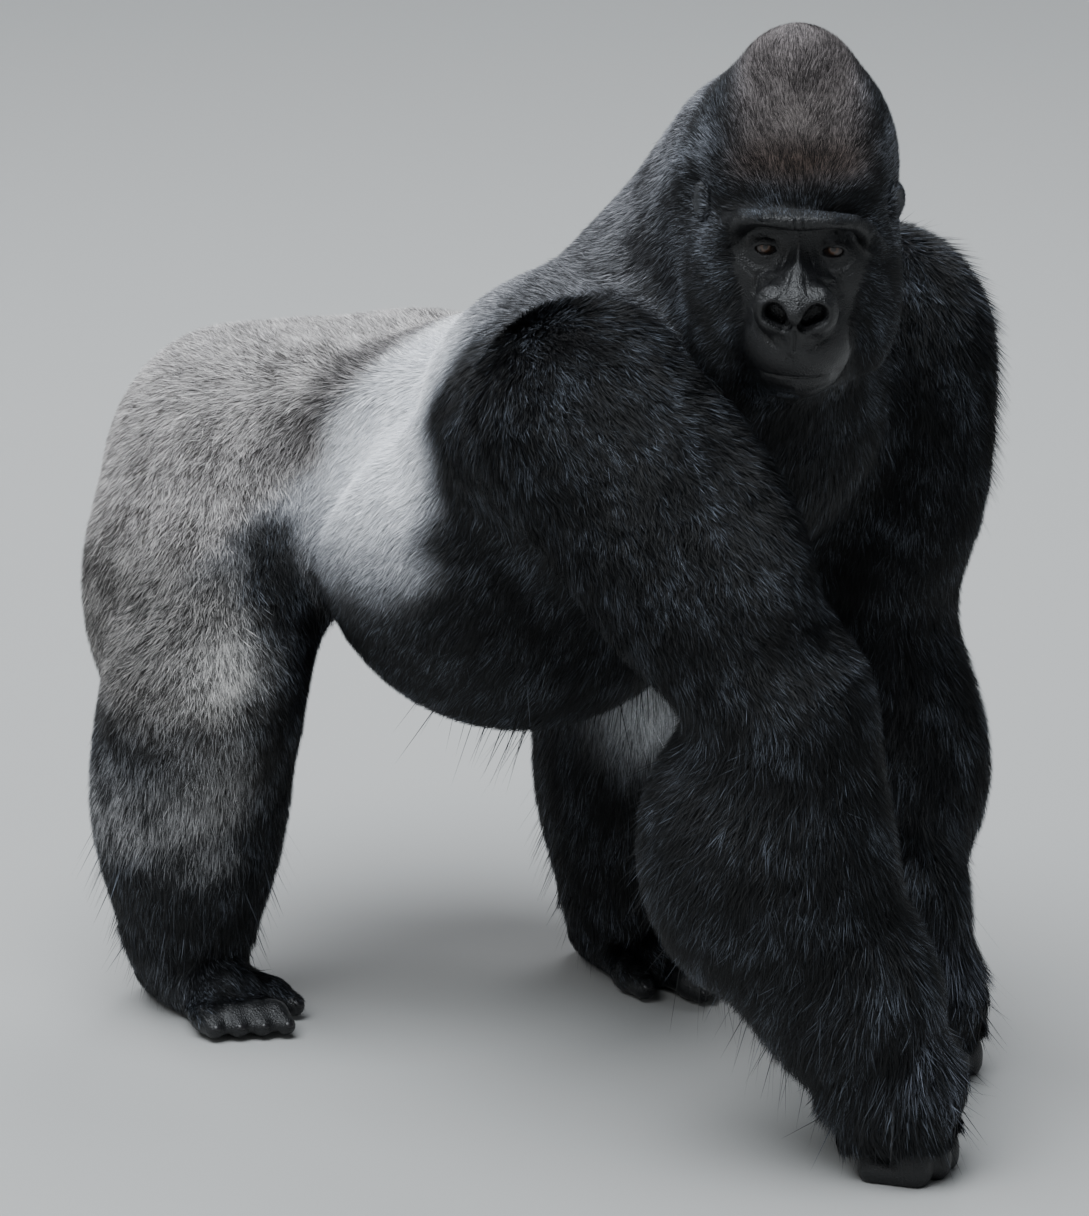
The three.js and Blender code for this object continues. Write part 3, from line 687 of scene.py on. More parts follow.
def rgb(red, green, blue):
    """A colour given as seen, from 0 to 255, in linear light."""
    seen = np.array([red, green, blue]) / 255
    return np.where(seen <= 0.04045, seen / 12.92, ((seen + 0.055) / 1.055) ** 2.4)


# Every part of the coat mixes dark hairs with pale ones: (dark, pale, share of pale).
# The black coat's few pale bluish hairs are partly grey hairs and partly painted sheen on black hair.
BLACK = (rgb(11, 12, 14), rgb(106, 113, 124), 0.03)
SILVER = (rgb(196, 198, 204), rgb(246, 247, 250), 0.82)
RUMP = (rgb(84, 80, 78), rgb(214, 210, 208), 0.52)
# Painted shadow under the crest of the hip bone: a darker tone of the rump's hair.
CREST_SHADOW = (rgb(50, 47, 47), rgb(146, 142, 141), 0.35)
THIGH = (rgb(50, 48, 47), rgb(166, 163, 160), 0.38)
# Pale hair over the near knee and shin, with a painted highlight on it.
KNEE_HIGHLIGHT = (rgb(96, 94, 92), rgb(208, 206, 203), 0.62)
# Pale hair on the far knee, painted brighter as painted light, as if lit.
FAR_KNEE_LIT = (rgb(216, 218, 222), rgb(248, 249, 251), 0.9)
SHANK = (rgb(38, 39, 41), rgb(164, 164, 165), 0.42)
NAPE = (rgb(32, 32, 35), rgb(142, 143, 148), 0.32)
SILVER_NAPE = (rgb(48, 48, 52), rgb(176, 178, 185), 0.45)
TEMPLE = (rgb(30, 31, 34), rgb(162, 166, 176), 0.42)
CROWN = (rgb(54, 50, 50), rgb(156, 148, 147), 0.42)
CROWN_PATCH = (rgb(92, 86, 86), rgb(198, 190, 188), 0.55)
FOREHEAD = (rgb(26, 23, 21), rgb(104, 85, 75), 0.34)
WRIST = (rgb(18, 19, 22), rgb(132, 138, 152), 0.22)
FACE_SKIN = (rgb(18, 19, 22), rgb(18, 19, 22), 0.0)
# Pale patches over the knees, partly pale hair and partly painted highlight, with the far knee painted as
# if lit: colour, place, reach and strength.
PAINTED_KNEE_LIGHTS = [
    (KNEE_HIGHLIGHT, (-204, -290, 462), 40, 0.85),
    (KNEE_HIGHLIGHT, (-206, -324, 430), 48, 0.6),
    (KNEE_HIGHLIGHT, (-198, -312, 330), 62, 0.4),
    (FAR_KNEE_LIT, (10, 168, 352), 50, 1.0),
    (FAR_KNEE_LIT, (-10, 190, 400), 62, 0.8),
]
# The skin under the coat is the coat's colour, darkened as painted shade deep in the coat.
UNDER_COAT_SHADE = 0.5


def markings(p, normal, shares):
    """The coat's dark colour, pale colour and share of pale hairs at each place, as seven columns."""
    x, y, z = p.T
    nx, ny, nz = normal.T
    f, l, t = to_head(p.T)
    out = np.sign(y)
    uneven = 6 * np.sin(z / 19 + y / 31) + 5 * np.sin(x / 23 - z / 11)
    coat = np.tile(np.concatenate([BLACK[0], BLACK[1], [BLACK[2]]]), (len(p), 1))

    def lay(over, amount):
        nonlocal coat
        over = np.concatenate([over[0], over[1], [over[2]]])
        coat = coat + np.clip(amount, 0, 1)[:, None] * (over - coat)
    trunk, neck, leg, arm = shares["trunk"], shares["neck"], both(shares, "leg"), both(shares, "arm")
    body = trunk + leg + arm * (x < 120)
    # Upper back and nape.
    upper = (trunk + neck) * step_between(380, 250, x)
    lay(NAPE, step_between(850, 960, z) * upper)
    lay(NAPE, neck * step_between(0.0, 0.6, nz))
    lay(SILVER_NAPE, (trunk + neck) * step_between(0.2, -0.5, nx + 0.25) * step_between(900, 990, z))
    # Saddle and flanks, up to a line behind the arms.
    edge = 40 + 95 * step_between(790, 900, z) - 40 * step_between(600, 500, z)
    behind = step_between(edge + 34, edge - 30, x + uneven)
    lay(SILVER, behind * step_between(495, 690, z) * body)
    lay(NAPE, upper * step_between(835, 900, z) * step_between(-30, 70, x) * 0.85)
    # Rump and legs: the rump's edge runs down and back from the top of the hip bone's crest, and a band of
    # painted shadow lies beside it, under the crest.
    crest = -119 - 0.645 * np.maximum(790 - z, 0)
    soft = 18 + 45 * step_between(770, 815, z)
    rump = step_between(soft, -soft, x - crest + 0.8 * uneven)
    # The front of the leg is dark, from a wedge under the fold of the flank down to the knee: black hair,
    # with painted shadow where the flank's fold overhangs the thigh.
    front = 0.25 - 0.32 * step_between(545, 480, z) - 0.18 * step_between(440, 330, z)
    outer_leg = step_between(front - 0.16, front + 0.14, ny * out - 0.45 * nx + uneven / 120)
    outer_leg = np.maximum(outer_leg, step_between(616, 646, z + 0.3 * (x + 230)))
    lay(RUMP, rump * step_between(430, 520, z) * body * np.maximum(outer_leg, step_between(0.5, 0.8, nz)))
    # Painted shadow under the hip bone's crest.
    lay(CREST_SHADOW, body * 0.9 * np.exp(-((x - crest + 30) / 30) ** 2) * step_between(640, 700, z)
        * step_between(830, 800, z))
    # Black hair, and painted shadow under the fold of the flank.
    lay(BLACK, leg * (1 - outer_leg) * step_between(0.8, 0.5, nz))
    lay(THIGH, leg * outer_leg * step_between(620, 520, z) * step_between(330, 430, z))
    lay(SHANK, leg * outer_leg * step_between(410, 262, z + uneven))
    # Painted highlights over the knees, on pale hair.
    for colour, place, reach, amount in PAINTED_KNEE_LIGHTS:
        away = np.sqrt(((p - place) ** 2).sum(1))
        lay(colour, leg * amount * np.exp(-(away / reach) ** 2))
    # Painted shade in a thin fold below the near knee.
    fold = np.abs(z - 384 + 0.12 * (x + 200))
    lay(BLACK, shares["leg_right"] * 0.4 * np.exp(-(fold / 7) ** 2) * step_between(-260, -215, x))
    lay(BLACK, leg * step_between(275, 160, z + 2 * uneven))
    # The belly, below the fold of the flank.
    lay(BLACK, step_between(0.0, -0.45, nz) * trunk * step_between(640, 520, z))
    # Head.
    on_head = shares["cranium"] + shares["cheeks"]
    lay(TEMPLE, (0.85 * on_head + 0.5 * neck) * step_between(70, 98, np.abs(l)) * step_between(170, 90, t)
        * step_between(-50, 30, t) * step_between(-120, -60, f))
    crown = on_head * step_between(44, 78, t) * step_between(88, 46, np.abs(l))
    lay(CROWN, crown)
    patch = np.exp(-((l / 38) ** 2 + ((t - 122) / 30) ** 2))
    lay(CROWN_PATCH, crown * 0.9 * patch * step_between(-150, -90, f))
    lay(FOREHEAD, crown * 0.95 * np.exp(-((l / 80) ** 2 + ((t - 76) / 24) ** 2)))
    lay(FACE_SKIN, bare_face(to_face(p.T)))
    # Silver streaks over the wrists.
    for j in JOINTS.values():
        forward, outward = x - j["knuckle"][0] - 40, y - j["knuckle"][1] + 10
        lay(WRIST, step_between(62, 22, np.sqrt(forward ** 2 + outward ** 2 + ((z - 150) / 1.4) ** 2)))
    return coat


def coat_length(p, normal, shares):
    """Length of the hair, in millimetres."""
    z = p[:, 2]
    belly = step_between(-0.2, -0.8, normal[:, 2]) * shares["trunk"]
    length = 21 * shares["trunk"] + 22 * belly + 23 * shares["neck"] + 13 * shares["cranium"]
    length += 17 * shares["cheeks"] + 6 * shares["face"] + 5 * both(shares, "ear")
    length += both(shares, "arm") * (21 + 11 * step_between(600, 460, z) + 12 * step_between(320, 200, z))
    length += 36 * both(shares, "hand") * step_between(40, 80, z)
    length += both(shares, "leg") * (23 + 8 * step_between(420, 250, z)) + 10 * both(shares, "foot")
    return length


def coat_curl(p, shares):
    """How much single hairs stray from the lie: little on the back, more on arms, rump and thighs."""
    behind = step_between(-120, -260, p[:, 0]) * step_between(300, 420, p[:, 2])
    return 0.16 + 0.16 * behind + 0.08 * both(shares, "arm")


def wispiness(p, normal, shares):
    """The share of long hairs that hang free: under the belly, over the left shoulder, behind the arms."""
    x, _, z = p.T
    nx, ny, nz = normal.T
    belly = 0.014 * shares["trunk"] * step_between(-0.5, -0.85, nz) * step_between(-50, 50, x) \
        * step_between(300, 220, x)
    shoulder = 0.12 * shares["arm_left"] * step_between(640, 740, z) * step_between(0.1, 0.5, ny)
    forearm = 0.015 * both(shares, "arm") * step_between(520, 440, z) * step_between(-0.1, -0.5, nx)
    heel = 0.012 * both(shares, "leg") * step_between(260, 180, z)
    return belly + shoulder + forearm + heel + 0.02 * both(shares, "hand") * step_between(50, 90, z)


def fineness(shares):
    """The width of tufts against their piece's own: smallest on face, ears and feet."""
    small = 0.35 * (shares["face"] + both(shares, "ear")) + 0.2 * both(shares, "foot")
    small += 0.15 * shares["cranium"]
    small += 0.15 * both(shares, "arm")
    return 1 - small


# ---------------------------------------------------------------- the skin


def placed(name, data):
    made = bpy.data.objects.new(name, data)
    bpy.context.scene.collection.objects.link(made)
    return made


def make_object(name, mesh):
    made = placed(name, mesh)
    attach(made, "root")
    return made


def unwrapped(made):
    """Unwraps an object's own shape into a map named OFBake."""
    for other in bpy.context.selected_objects:
        other.select_set(False)
    bpy.context.view_layer.objects.active = made
    made.select_set(True)
    bpy.ops.object.mode_set(mode="EDIT")
    bpy.ops.mesh.select_all(action="SELECT")
    bpy.ops.uv.smart_project(angle_limit=math.radians(66), island_margin=0.004)
    bpy.ops.object.mode_set(mode="OBJECT")
    made.data.uv_layers[0].name = "OFBake"


def set_colour(mesh, colour):
    layer = mesh.attributes.new("coat", "FLOAT_COLOR", "POINT")
    rgba = np.ones((len(colour), 4), np.float32)
    rgba[:, :3] = colour
    layer.data.foreach_set("color", rgba.ravel())


def fan(middle, first, spokes):
    """Triangles from a middle point to the ring of points that starts at first."""
    return [(middle, first + m, first + (m + 1) % spokes) for m in range(spokes)]


def ring_quads(first, rings, spokes):
    """Quads between rings of points that follow one another from first on."""
    quads = []
    for here in range(first, first + (rings - 1) * spokes, spokes):
        there = here + spokes
        quads += [(here + m, there + m, there + (m + 1) % spokes, here + (m + 1) % spokes)
                  for m in range(spokes)]
    return quads


# ---------------------------------------------------------------- eyes

# Radii of the eye's rings and the height of the bulge over the iris, in millimetres.
PUPIL, IRIS_EDGE, IRIS, LIMBUS = 2.7, 4.4, 6.8, 7.6
BULGE = 0.9
IRIS_BROWN, IRIS_RIM, WHITE_OF_EYE = rgb(74, 51, 36), rgb(24, 17, 13), rgb(34, 26, 23)


def eyeball(side, gaze_up=20.0, rings=46, spokes=64):
    """A ball with a bulge over the iris, looking ahead and a little up, its rings closer near the pupil."""
    radius = EYE["radius"]
    angle = math.pi * (np.arange(1, rings) / rings) ** 1.7
    bulge = BULGE * step_between(0.62, 0.3, angle)
    turn = np.arange(spokes) * 2 * math.pi / spokes
    off = radius * np.sin(angle)
    ahead = radius * np.cos(angle) + bulge
    ring = np.stack([np.repeat(ahead, spokes), np.outer(off, np.cos(turn)).ravel(),
                     np.outer(off, np.sin(turn)).ravel()], 1)
    places = np.vstack([(radius + BULGE, 0, 0), ring, (-radius, 0, 0)])
    up = math.radians(gaze_up)
    lift = np.array([(math.cos(up), 0, math.sin(up)), (0, 1, 0), (-math.sin(up), 0, math.cos(up))])
    places = places @ lift + (EYE["f"], SIDES[side] * EYE["l"], EYE["t"])
    last = len(places) - 1
    faces = fan(0, 1, spokes) + ring_quads(1, rings - 1, spokes)
    faces += [(a, c, b) for a, b, c in fan(last, last - spokes, spokes)]
    mesh = bpy.data.meshes.new(f"eyeball_{side}")
    mesh.from_pydata(to_frame(from_face(places)).tolist(), [], faces)
    mesh.shade_smooth()
    # How far each point lies from the middle of the pupil; the back of the ball counts as far away.
    reach = np.where(angle < math.pi / 2, off, 99)
    reach = np.concatenate([[0], np.repeat(reach, spokes), [99]])
    streak = rng.uniform(0.75, 1.25, spokes)
    streak = np.concatenate([[1], np.tile(streak, rings - 1), [1]])[:, None]
    colour = np.tile(WHITE_OF_EYE, (len(places), 1))
    share = step_between(LIMBUS, IRIS, reach)[:, None]
    rim = step_between(IRIS_EDGE, IRIS, reach)[:, None]
    iris = IRIS_BROWN * streak + (IRIS_RIM - IRIS_BROWN * streak) * rim
    colour = colour * (1 - share) + iris * share
    colour *= step_between(PUPIL - 0.3, PUPIL + 0.3, reach)[:, None]
    set_colour(mesh, colour)
    mesh.materials.append(EYE_MATERIAL)
    made = make_object(f"eyeball_{side}", mesh)
    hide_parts(f"eye_{side}")


# ---------------------------------------------------------------- nails

# A nail's measures along the finger or toe, across it and out of it, against its size.
NAIL_SHAPE = (0.78, 0.62, 0.34)


def toe_nails(j):
    """Where a foot's nails lie: middle, outward normal, way along the toe, size in millimetres and tilt."""
    at = beside(j["ankle"], j["foot_turn"])
    tips = [(183 - toe * 11, (toe * 24 - 24) * 1.05, 20, 0, 9.5) for toe in range(4)]
    nails = []
    for forward, outward, z, aside, size in tips + [(130, -69, 23, -0.3, 12.0)]:
        middle = np.array(at(forward, outward, z))
        nails.append((middle, (0, 0, 1), at(forward + 1, outward + aside, z) - middle, size, 0.5))
    return nails


def finger_nails(j):
    """A hand's nails: on the backs of the fingertips, which are curled under the palm, and the thumb's."""
    at = beside(j["knuckle"], j["hand_turn"])
    nails = []
    for finger in range(4):
        reach, side = -9 if finger in (0, 3) else 3, (finger - 1.5) * 31 * 0.9
        middle = np.array(at(reach - 42, side, 46))
        nails.append((middle, at(reach - 43, side, 46) - middle, (0, 0, 1), 10.0, 0.1))
    middle = np.array(at(-4, -80, 56))
    return nails + [(middle, at(-4.5, -81, 56) - middle, (0.3, 0, -1), 10.0, 0.2)]


def add_nails(name, places, rings=7, spokes=20):
    """Nails as small curved plates, rounded at the edge, each with a softly ridged back."""
    points, faces = [], []
    far, wide, high = NAIL_SHAPE
    for middle, normal, along, size, tilt in places:
        along, normal = unit(np.array(along, float)), unit(np.array(normal, float))
        across = np.cross(normal, along)
        c, s = math.cos(tilt), math.sin(tilt)
        along, normal = along * c - normal * s, normal * c + along * s
        first = len(points)
        for ring in range(rings + 1):
            angle = math.pi * 0.62 * ring / rings
            for spoke in range(spokes if ring else 1):
                turn = 2 * math.pi * spoke / spokes
                squared = 1 / max(abs(math.cos(turn)), abs(math.sin(turn))) ** 0.35
                reach = math.sin(angle) * squared
                ridge = 0.12 * math.sin(3.5 * reach * math.sin(turn) * size)
                points.append(middle + along * size * far * reach * math.cos(turn)
                              + across * size * wide * reach * math.sin(turn)
                              + normal * (size * high * math.cos(angle) + ridge))
        faces += fan(first, first + 1, spokes) + ring_quads(first + 1, rings, spokes)
        faces.append(range(len(points) - 1, len(points) - 1 - spokes, -1))
    mesh = bpy.data.meshes.new(name)
    mesh.from_pydata(to_frame(np.array(points)).tolist(), [], faces)
    mesh.shade_smooth()
    mesh.materials.append(NAIL_MATERIAL)
    made = make_object(name, mesh)


# ---------------------------------------------------------------- tufts


class Skin:
    """The skin's points with all that the coat on them needs."""

    def __init__(self, mesh):
        self.points = points_of(mesh)
        self.normal = unit(value_and_slope(skin_form, self.points)[1])
        self.shares = shares_of(self.points)
        self.lie = lie_of_coat(self.points, self.normal, self.shares)
        self.coat = markings(self.points, self.normal, self.shares)
        self.length = coat_length(self.points, self.normal, self.shares)
        self.curl = coat_curl(self.points, self.shares)
        self.fine = fineness(self.shares)
        self.wisp = wispiness(self.points, self.normal, self.shares)
        self.bare = self.bareness()
        self.depth = np.clip(-outer_form(self.points.T.copy()), 0.4, 60)
        self.bend = self.bend_along_lie()

    def bareness(self):
        """1 where no hair grows: face, soles, knuckles, finger and toe tips, and the bowls of the ears."""
        face = bare_face(to_face(self.points.T))
        z = self.points[:, 2]
        knuckles = both(self.shares, "hand") * step_between(56, 42, z)
        toes = both(self.shares, "foot") * np.maximum(step_between(34, 22, z), self.on_toes())
        ears = both(self.shares, "ear") * 0.85
        return np.clip(face + knuckles + toes + ears, 0, 1)

    def on_toes(self):
        """1 on the toes, from halfway along them."""
        reach = np.full(len(self.points), -1e3)
        for j in JOINTS.values():
            ahead = math.radians(j["foot_turn"])
            x, y = self.points[:, 0] - j["ankle"][0], self.points[:, 1] - j["ankle"][1]
            along = x * math.cos(ahead) + y * math.sin(ahead)
            reach = np.where(np.hypot(x, y) < 240, np.maximum(reach, along), reach)
        return step_between(112, 140, reach)

    def bend_along_lie(self, reach=18.0):
        """How the skin curves away along the coat's lie, as the second-order part of a path over it."""
        ahead = self.points + self.lie * reach
        value, slope = value_and_slope(skin_form, ahead)
        ahead -= unit(slope) * value[:, None]
        return (ahead - self.points - self.lie * reach) / reach ** 2


def skin_triangles(mesh):
    mesh.calc_loop_triangles()
    n = len(mesh.loop_triangles)
    corners, loops = np.zeros(n * 3, np.int32), np.zeros(n * 3, np.int32)
    mesh.loop_triangles.foreach_get("vertices", corners)
    mesh.loop_triangles.foreach_get("loops", loops)
    uv = np.zeros(len(mesh.loops) * 2, np.float32)
    mesh.uv_layers["OFBake"].data.foreach_get("uv", uv)
    return corners.reshape(-1, 3), uv.reshape(-1, 2)[loops].reshape(-1, 3, 2)


def smooth_noise(p, rng, low, high, waves=14):
    """A smooth wavering in space, for each of three directions, from waves of low to high millimetres."""
    total = np.zeros_like(p)
    for _ in range(waves):
        way = unit(rng.normal(size=3)) * 2 * math.pi / rng.uniform(low, high)
        phase = rng.uniform(0, 2 * math.pi, 3)
        total += np.sin((p @ way)[:, None] + phase)
    return total / math.sqrt(waves / 2)


# The side of a tuft's patch of the map.
TUFT_PATCH = 0.003
# A tuft is a single tapered triangle, or bends halfway: how its points join, how dark or pale each is from
# root to tip (the root darkened as painted shade deep in the coat, the tip paler as the hairs' frosting),
# and where each lies in the tuft's patch.
SHADED_ROOT, MIDDLE, PALE_TIP = 0.5, 0.9, 1.2
STRAIGHT = dict(faces=[(0, 1, 2)], shade=[SHADED_ROOT, SHADED_ROOT, PALE_TIP],
                patch=[(-0.5, -0.5), (0.5, -0.5), (0, 0.5)])
BENT = dict(faces=[(0, 1, 3), (0, 3, 2), (2, 3, 4)],
            shade=[SHADED_ROOT, SHADED_ROOT, MIDDLE, MIDDLE, PALE_TIP],
            patch=[(-0.5, -0.5), (0.5, -0.5), (-0.4, 0.1), (0.4, 0.1), (0, 0.5)])
# How far locks waver from the lie, how far tufts roll about their own length, how many stand out as strays,
# and how unevenly light or dark they are.
LOCK_WAVE, ROLL, STRAY_SHARE, UNEVEN_LIGHT = 0.13, 0.45, 0.015, 0.26
# Spreads of length, of the share of the coat's depth to which tips rise, and of root width.
LENGTHS, RISES, WIDTHS = (0.75, 1.2), (0.55, 1.0), (0.7, 1.3)
# How much longer strays and free-hanging wisps are, and how much higher strays stand.
STRAY_LENGTH, WISP_LENGTH, STRAY_RISE = 1.35, 1.8, 1.25
# How far roots lie under the skin, and the lowest that a tip hangs.
ROOT_DEPTH, LOWEST_TIP = 0.6, 3
# The coat's pieces: name, the regions that each covers and on which side, how many triangles it has at
# most, a tuft's root width in millimetres, the kind of its tufts, and its material slot.
PIECES = [
    ("coat_head", ("cranium", "cheeks", "face", "ear_right", "ear_left"), 0, 190_000, 1.2, STRAIGHT,
     "coat_crown"),
    ("coat_neck", ("neck",), 0, 140_000, 1.4, STRAIGHT, "coat_nape"),
    ("coat_trunk_right", ("trunk",), -1, 198_000, 1.4, STRAIGHT, "coat_silver"),
    ("coat_trunk_left", ("trunk",), 1, 160_000, 1.55, STRAIGHT, "coat_silver"),
    ("coat_arm_right", ("arm_right",), 0, 198_000, 1.4, STRAIGHT, "coat_black"),
    ("coat_arm_left", ("arm_left",), 0, 180_000, 1.5, STRAIGHT, "coat_black"),
    ("coat_leg_right", ("leg_right", "foot_right"), 0, 198_000, 1.4, STRAIGHT, "coat_grey"),
    ("coat_leg_left", ("leg_left", "foot_left"), 0, 170_000, 1.5, STRAIGHT, "coat_grey"),
    ("coat_hands", ("hand_right", "hand_left"), 0, 66_000, 1.9, BENT, "coat_black"),
]


def piece_of_points(skin):
    """For each point of the skin, the number of the coat piece over it."""
    names = list(skin.shares)
    strongest = np.argmax([skin.shares[name] for name in names], axis=0)
    number = np.zeros(len(skin.points), int)
    for at, (_, regions, side, *_) in enumerate(PIECES):
        chosen = np.isin(strongest, [names.index(region) for region in regions])
        if side:
            chosen &= (skin.points[:, 1] >= 0) == (side > 0)
        number[chosen] = at
    return number


def sown(skin, corners, chosen, tufts, rng):
    """Roots over the chosen triangles of the skin: each one's triangle and its place in it."""
    a, b, c = (skin.points[corners[:, m]] for m in range(3))
    area = np.linalg.norm(np.cross(b - a, c - a), axis=1) / 2
    want = (1 - skin.bare) / np.maximum(skin.length, 5)
    weight = area * want[corners].mean(1) * chosen
    expected = weight / weight.sum() * tufts
    count = (expected + rng.random(len(expected))).astype(int)
    triangle = np.repeat(np.arange(len(corners)), count)
    u, v = rng.random(len(triangle)), rng.random(len(triangle))
    over = u + v > 1
    u[over], v[over] = 1 - u[over], 1 - v[over]
    return triangle, np.stack([1 - u - v, u, v], 1)


def triangle_mesh(name, vertices, triangles):
    mesh = bpy.data.meshes.new(name)
    mesh.vertices.add(len(vertices))
    mesh.vertices.foreach_set("co", vertices.astype(np.float32).ravel())
    mesh.loops.add(triangles.size)
    mesh.loops.foreach_set("vertex_index", triangles.astype(np.int32).ravel())
    mesh.polygons.add(len(triangles))
    mesh.polygons.foreach_set("loop_start", np.arange(0, triangles.size, 3, dtype=np.int32))
    mesh.update(calc_edges=True)
    return mesh


def coat_piece(piece, skin, corners, corner_uv, chosen, rng):
    """Tufts over the chosen triangles of the skin, their tips reaching toward the outer surface."""
    name, _, _, most, root_width, kind, slot = piece
    kind = {key: np.array(value) for key, value in kind.items()}
    # Numbers of tufts are rounded up or down at random, so a hundredth is kept in hand.
    triangle, part = sown(skin, corners, chosen, most / len(kind["faces"]) * 0.99, rng)
    n = len(triangle)
    ring = corners[triangle]

    def at_roots(values):
        shaped = part if values.ndim == 1 else part[:, :, None]
        return (values[ring] * shaped).sum(1)
    root, normal, lie = at_roots(skin.points), unit(at_roots(skin.normal)), at_roots(skin.lie)
    bend, depth, length = at_roots(skin.bend), at_roots(skin.depth), at_roots(skin.length)
    coat, curl, fine = at_roots(skin.coat), at_roots(skin.curl), at_roots(skin.fine)
    wisp = rng.random(n) < at_roots(skin.wisp)
    uv = (corner_uv[triangle] * part[:, :, None]).sum(1)

    # The lie wavers in locks and from hair to hair.
    wave = smooth_noise(root, rng, 16, 60)
    lie = lie + LOCK_WAVE * wave + rng.normal(0, 1, (n, 3)) * curl[:, None]
    lie = unit(lie - (lie * normal).sum(1, keepdims=True) * normal)
    across = np.cross(normal, lie)
    roll = rng.normal(0, ROLL, n)[:, None]
    across = across * np.cos(roll) + normal * np.sin(roll)
    stray = rng.random(n) < STRAY_SHARE
    length = length * rng.uniform(*LENGTHS, n) * (1 + 0.1 * wave[:, 0]) * np.where(stray, STRAY_LENGTH, 1)
    rise = np.minimum(depth * rng.uniform(*RISES, n), length * 0.7) * np.where(stray, STRAY_RISE, 1)
    width = (root_width * fine * rng.uniform(*WIDTHS, n))[:, None]

    def along(s, height):
        return root + lie * s[:, None] + bend * (s ** 2)[:, None] + normal * height[:, None]
    start = root - normal * ROOT_DEPTH
    start[:, 2] = np.maximum(start[:, 2], SOLE_HEIGHT)
    tip = along(length, rise)
    free = unit(lie * 0.85 + normal * 0.75 + np.array([0, 0, -0.3]))
    tip[wisp] = (root + free * (length * WISP_LENGTH)[:, None])[wisp]
    tip[:, 2] = np.maximum(tip[:, 2], LOWEST_TIP)
    mottle = smooth_noise(root, rng, 22, 90)[:, 0]
    pale = step_between(-0.22, 0.22, coat[:, 6] + 0.09 * mottle - rng.random(n))[:, None]
    colour = coat[:, :3] + pale * (coat[:, 3:6] - coat[:, :3])
    light = rng.lognormal(0, UNEVEN_LIGHT, n)[:, None]
    places = [start - across * width / 2, start + across * width / 2]
    if len(kind["shade"]) > 3:
        middle = along(length * 0.5, rise * 0.72)
        places += [middle - across * width * 0.42, middle + across * width * 0.42]
    places = np.stack([*places, tip], 1)
    first = np.arange(n) * places.shape[1]
    triangles = (kind["faces"][None] + first[:, None, None]).reshape(-1, 3)
    mesh = triangle_mesh(name, to_frame(places.reshape(-1, 3)), triangles)
    # Each tuft's colour, darkened toward the root as painted shade and paler at the tip.
    set_colour(mesh, (colour[:, None] * light[:, None] * kind["shade"][None, :, None]).reshape(-1, 3))
    map_uv = (uv[:, None] + kind["patch"] * TUFT_PATCH).reshape(-1, 2)[triangles.ravel()]
    mesh.uv_layers.new(name="OFBake").data.foreach_set("uv", map_uv.astype(np.float32).ravel())
    made = make_object(name, mesh)
    mesh.materials.append(COAT_MATERIAL)


# ---------------------------------------------------------------- materials


class Material:
    """A material whose nodes are added one by one; a socket's name is written with underscores."""

    def __init__(self, name, **sockets):
        self.material = bpy.data.materials.new(name)
        self.material.use_nodes = True
        self.tree = self.material.node_tree
        self.shader = self.tree.nodes["Principled BSDF"]
        self.set(self.shader, sockets)

    def set(self, node, sockets):
        """Links each of a node's sockets to another's output, or gives it a value."""
        for name, value in sockets.items():
            socket = node.inputs[name.replace("_", " ")]
            if isinstance(value, bpy.types.NodeSocket):
                self.tree.links.new(value, socket)
            else:
                socket.default_value = value

    def add(self, kind, output, **sockets):
        """Adds a node and gives the output named."""
        node = self.tree.nodes.new(f"ShaderNode{kind}")
        self.set(node, sockets)
        return node.outputs[output]

    def painted(self):
        """The colour painted on the mesh."""
        colour = self.add("VertexColor", "Color")
        colour.node.layer_name = "coat"
        return colour


def painted_material(name, **sockets):
    made = Material(name, **sockets)
    made.set(made.shader, dict(Base_Color=made.painted()))
    return made.material


def skin_material():
    """Leathery skin: pores and a fine net of wrinkles in its bump, a little uneven in colour and shine."""
    made = Material("bare_skin", Specular_IOR_Level=0.5)
    place = made.add("TexCoord", "Object")

    def noise(scale, detail):
        return made.add("TexNoise", "Fac", Vector=place, Scale=scale, Detail=detail, Roughness=0.6)

    def ranged(value, low, high):
        return made.add("MapRange", "Result", Value=value, From_Min=0.3, From_Max=0.7, To_Min=low,
                        To_Max=high)
    wrinkles = made.add("TexVoronoi", "Distance", Vector=place, Scale=330)
    wrinkles.node.feature = "DISTANCE_TO_EDGE"
    uneven = ranged(noise(240, 6), 0.5, 1.6)
    tint = made.add("MixRGB", "Color", Fac=1.0, Color1=made.painted(), Color2=uneven)
    tint.node.blend_type = "MULTIPLY"
    pores = made.add("Bump", "Normal", Strength=0.45, Distance=0.0008, Height=noise(600, 4))
    bump = made.add("Bump", "Normal", Strength=0.6, Distance=0.0016, Height=wrinkles, Normal=pores)
    made.set(made.shader, dict(Base_Color=tint, Roughness=ranged(noise(60, 4), 0.36, 0.52), Normal=bump))
    return made.material


def nail_material():
    made = Material("nail", Specular_IOR_Level=0.5, Base_Color=(*rgb(30, 29, 31), 1))
    noise = made.add("TexNoise", "Fac", Scale=260)
    made.set(made.shader, dict(Roughness=made.add("MapRange", "Result", To_Min=0.24, To_Max=0.42,
                                                  Value=noise)))
    return made.material


COAT_MATERIAL = painted_material("coat", Roughness=0.55, Specular_IOR_Level=0.3)
EYE_MATERIAL = painted_material("eye", Roughness=0.3, Coat_Weight=0.35, Coat_Roughness=0.03)
NAIL_MATERIAL = nail_material()

# ---------------------------------------------------------------- making it all

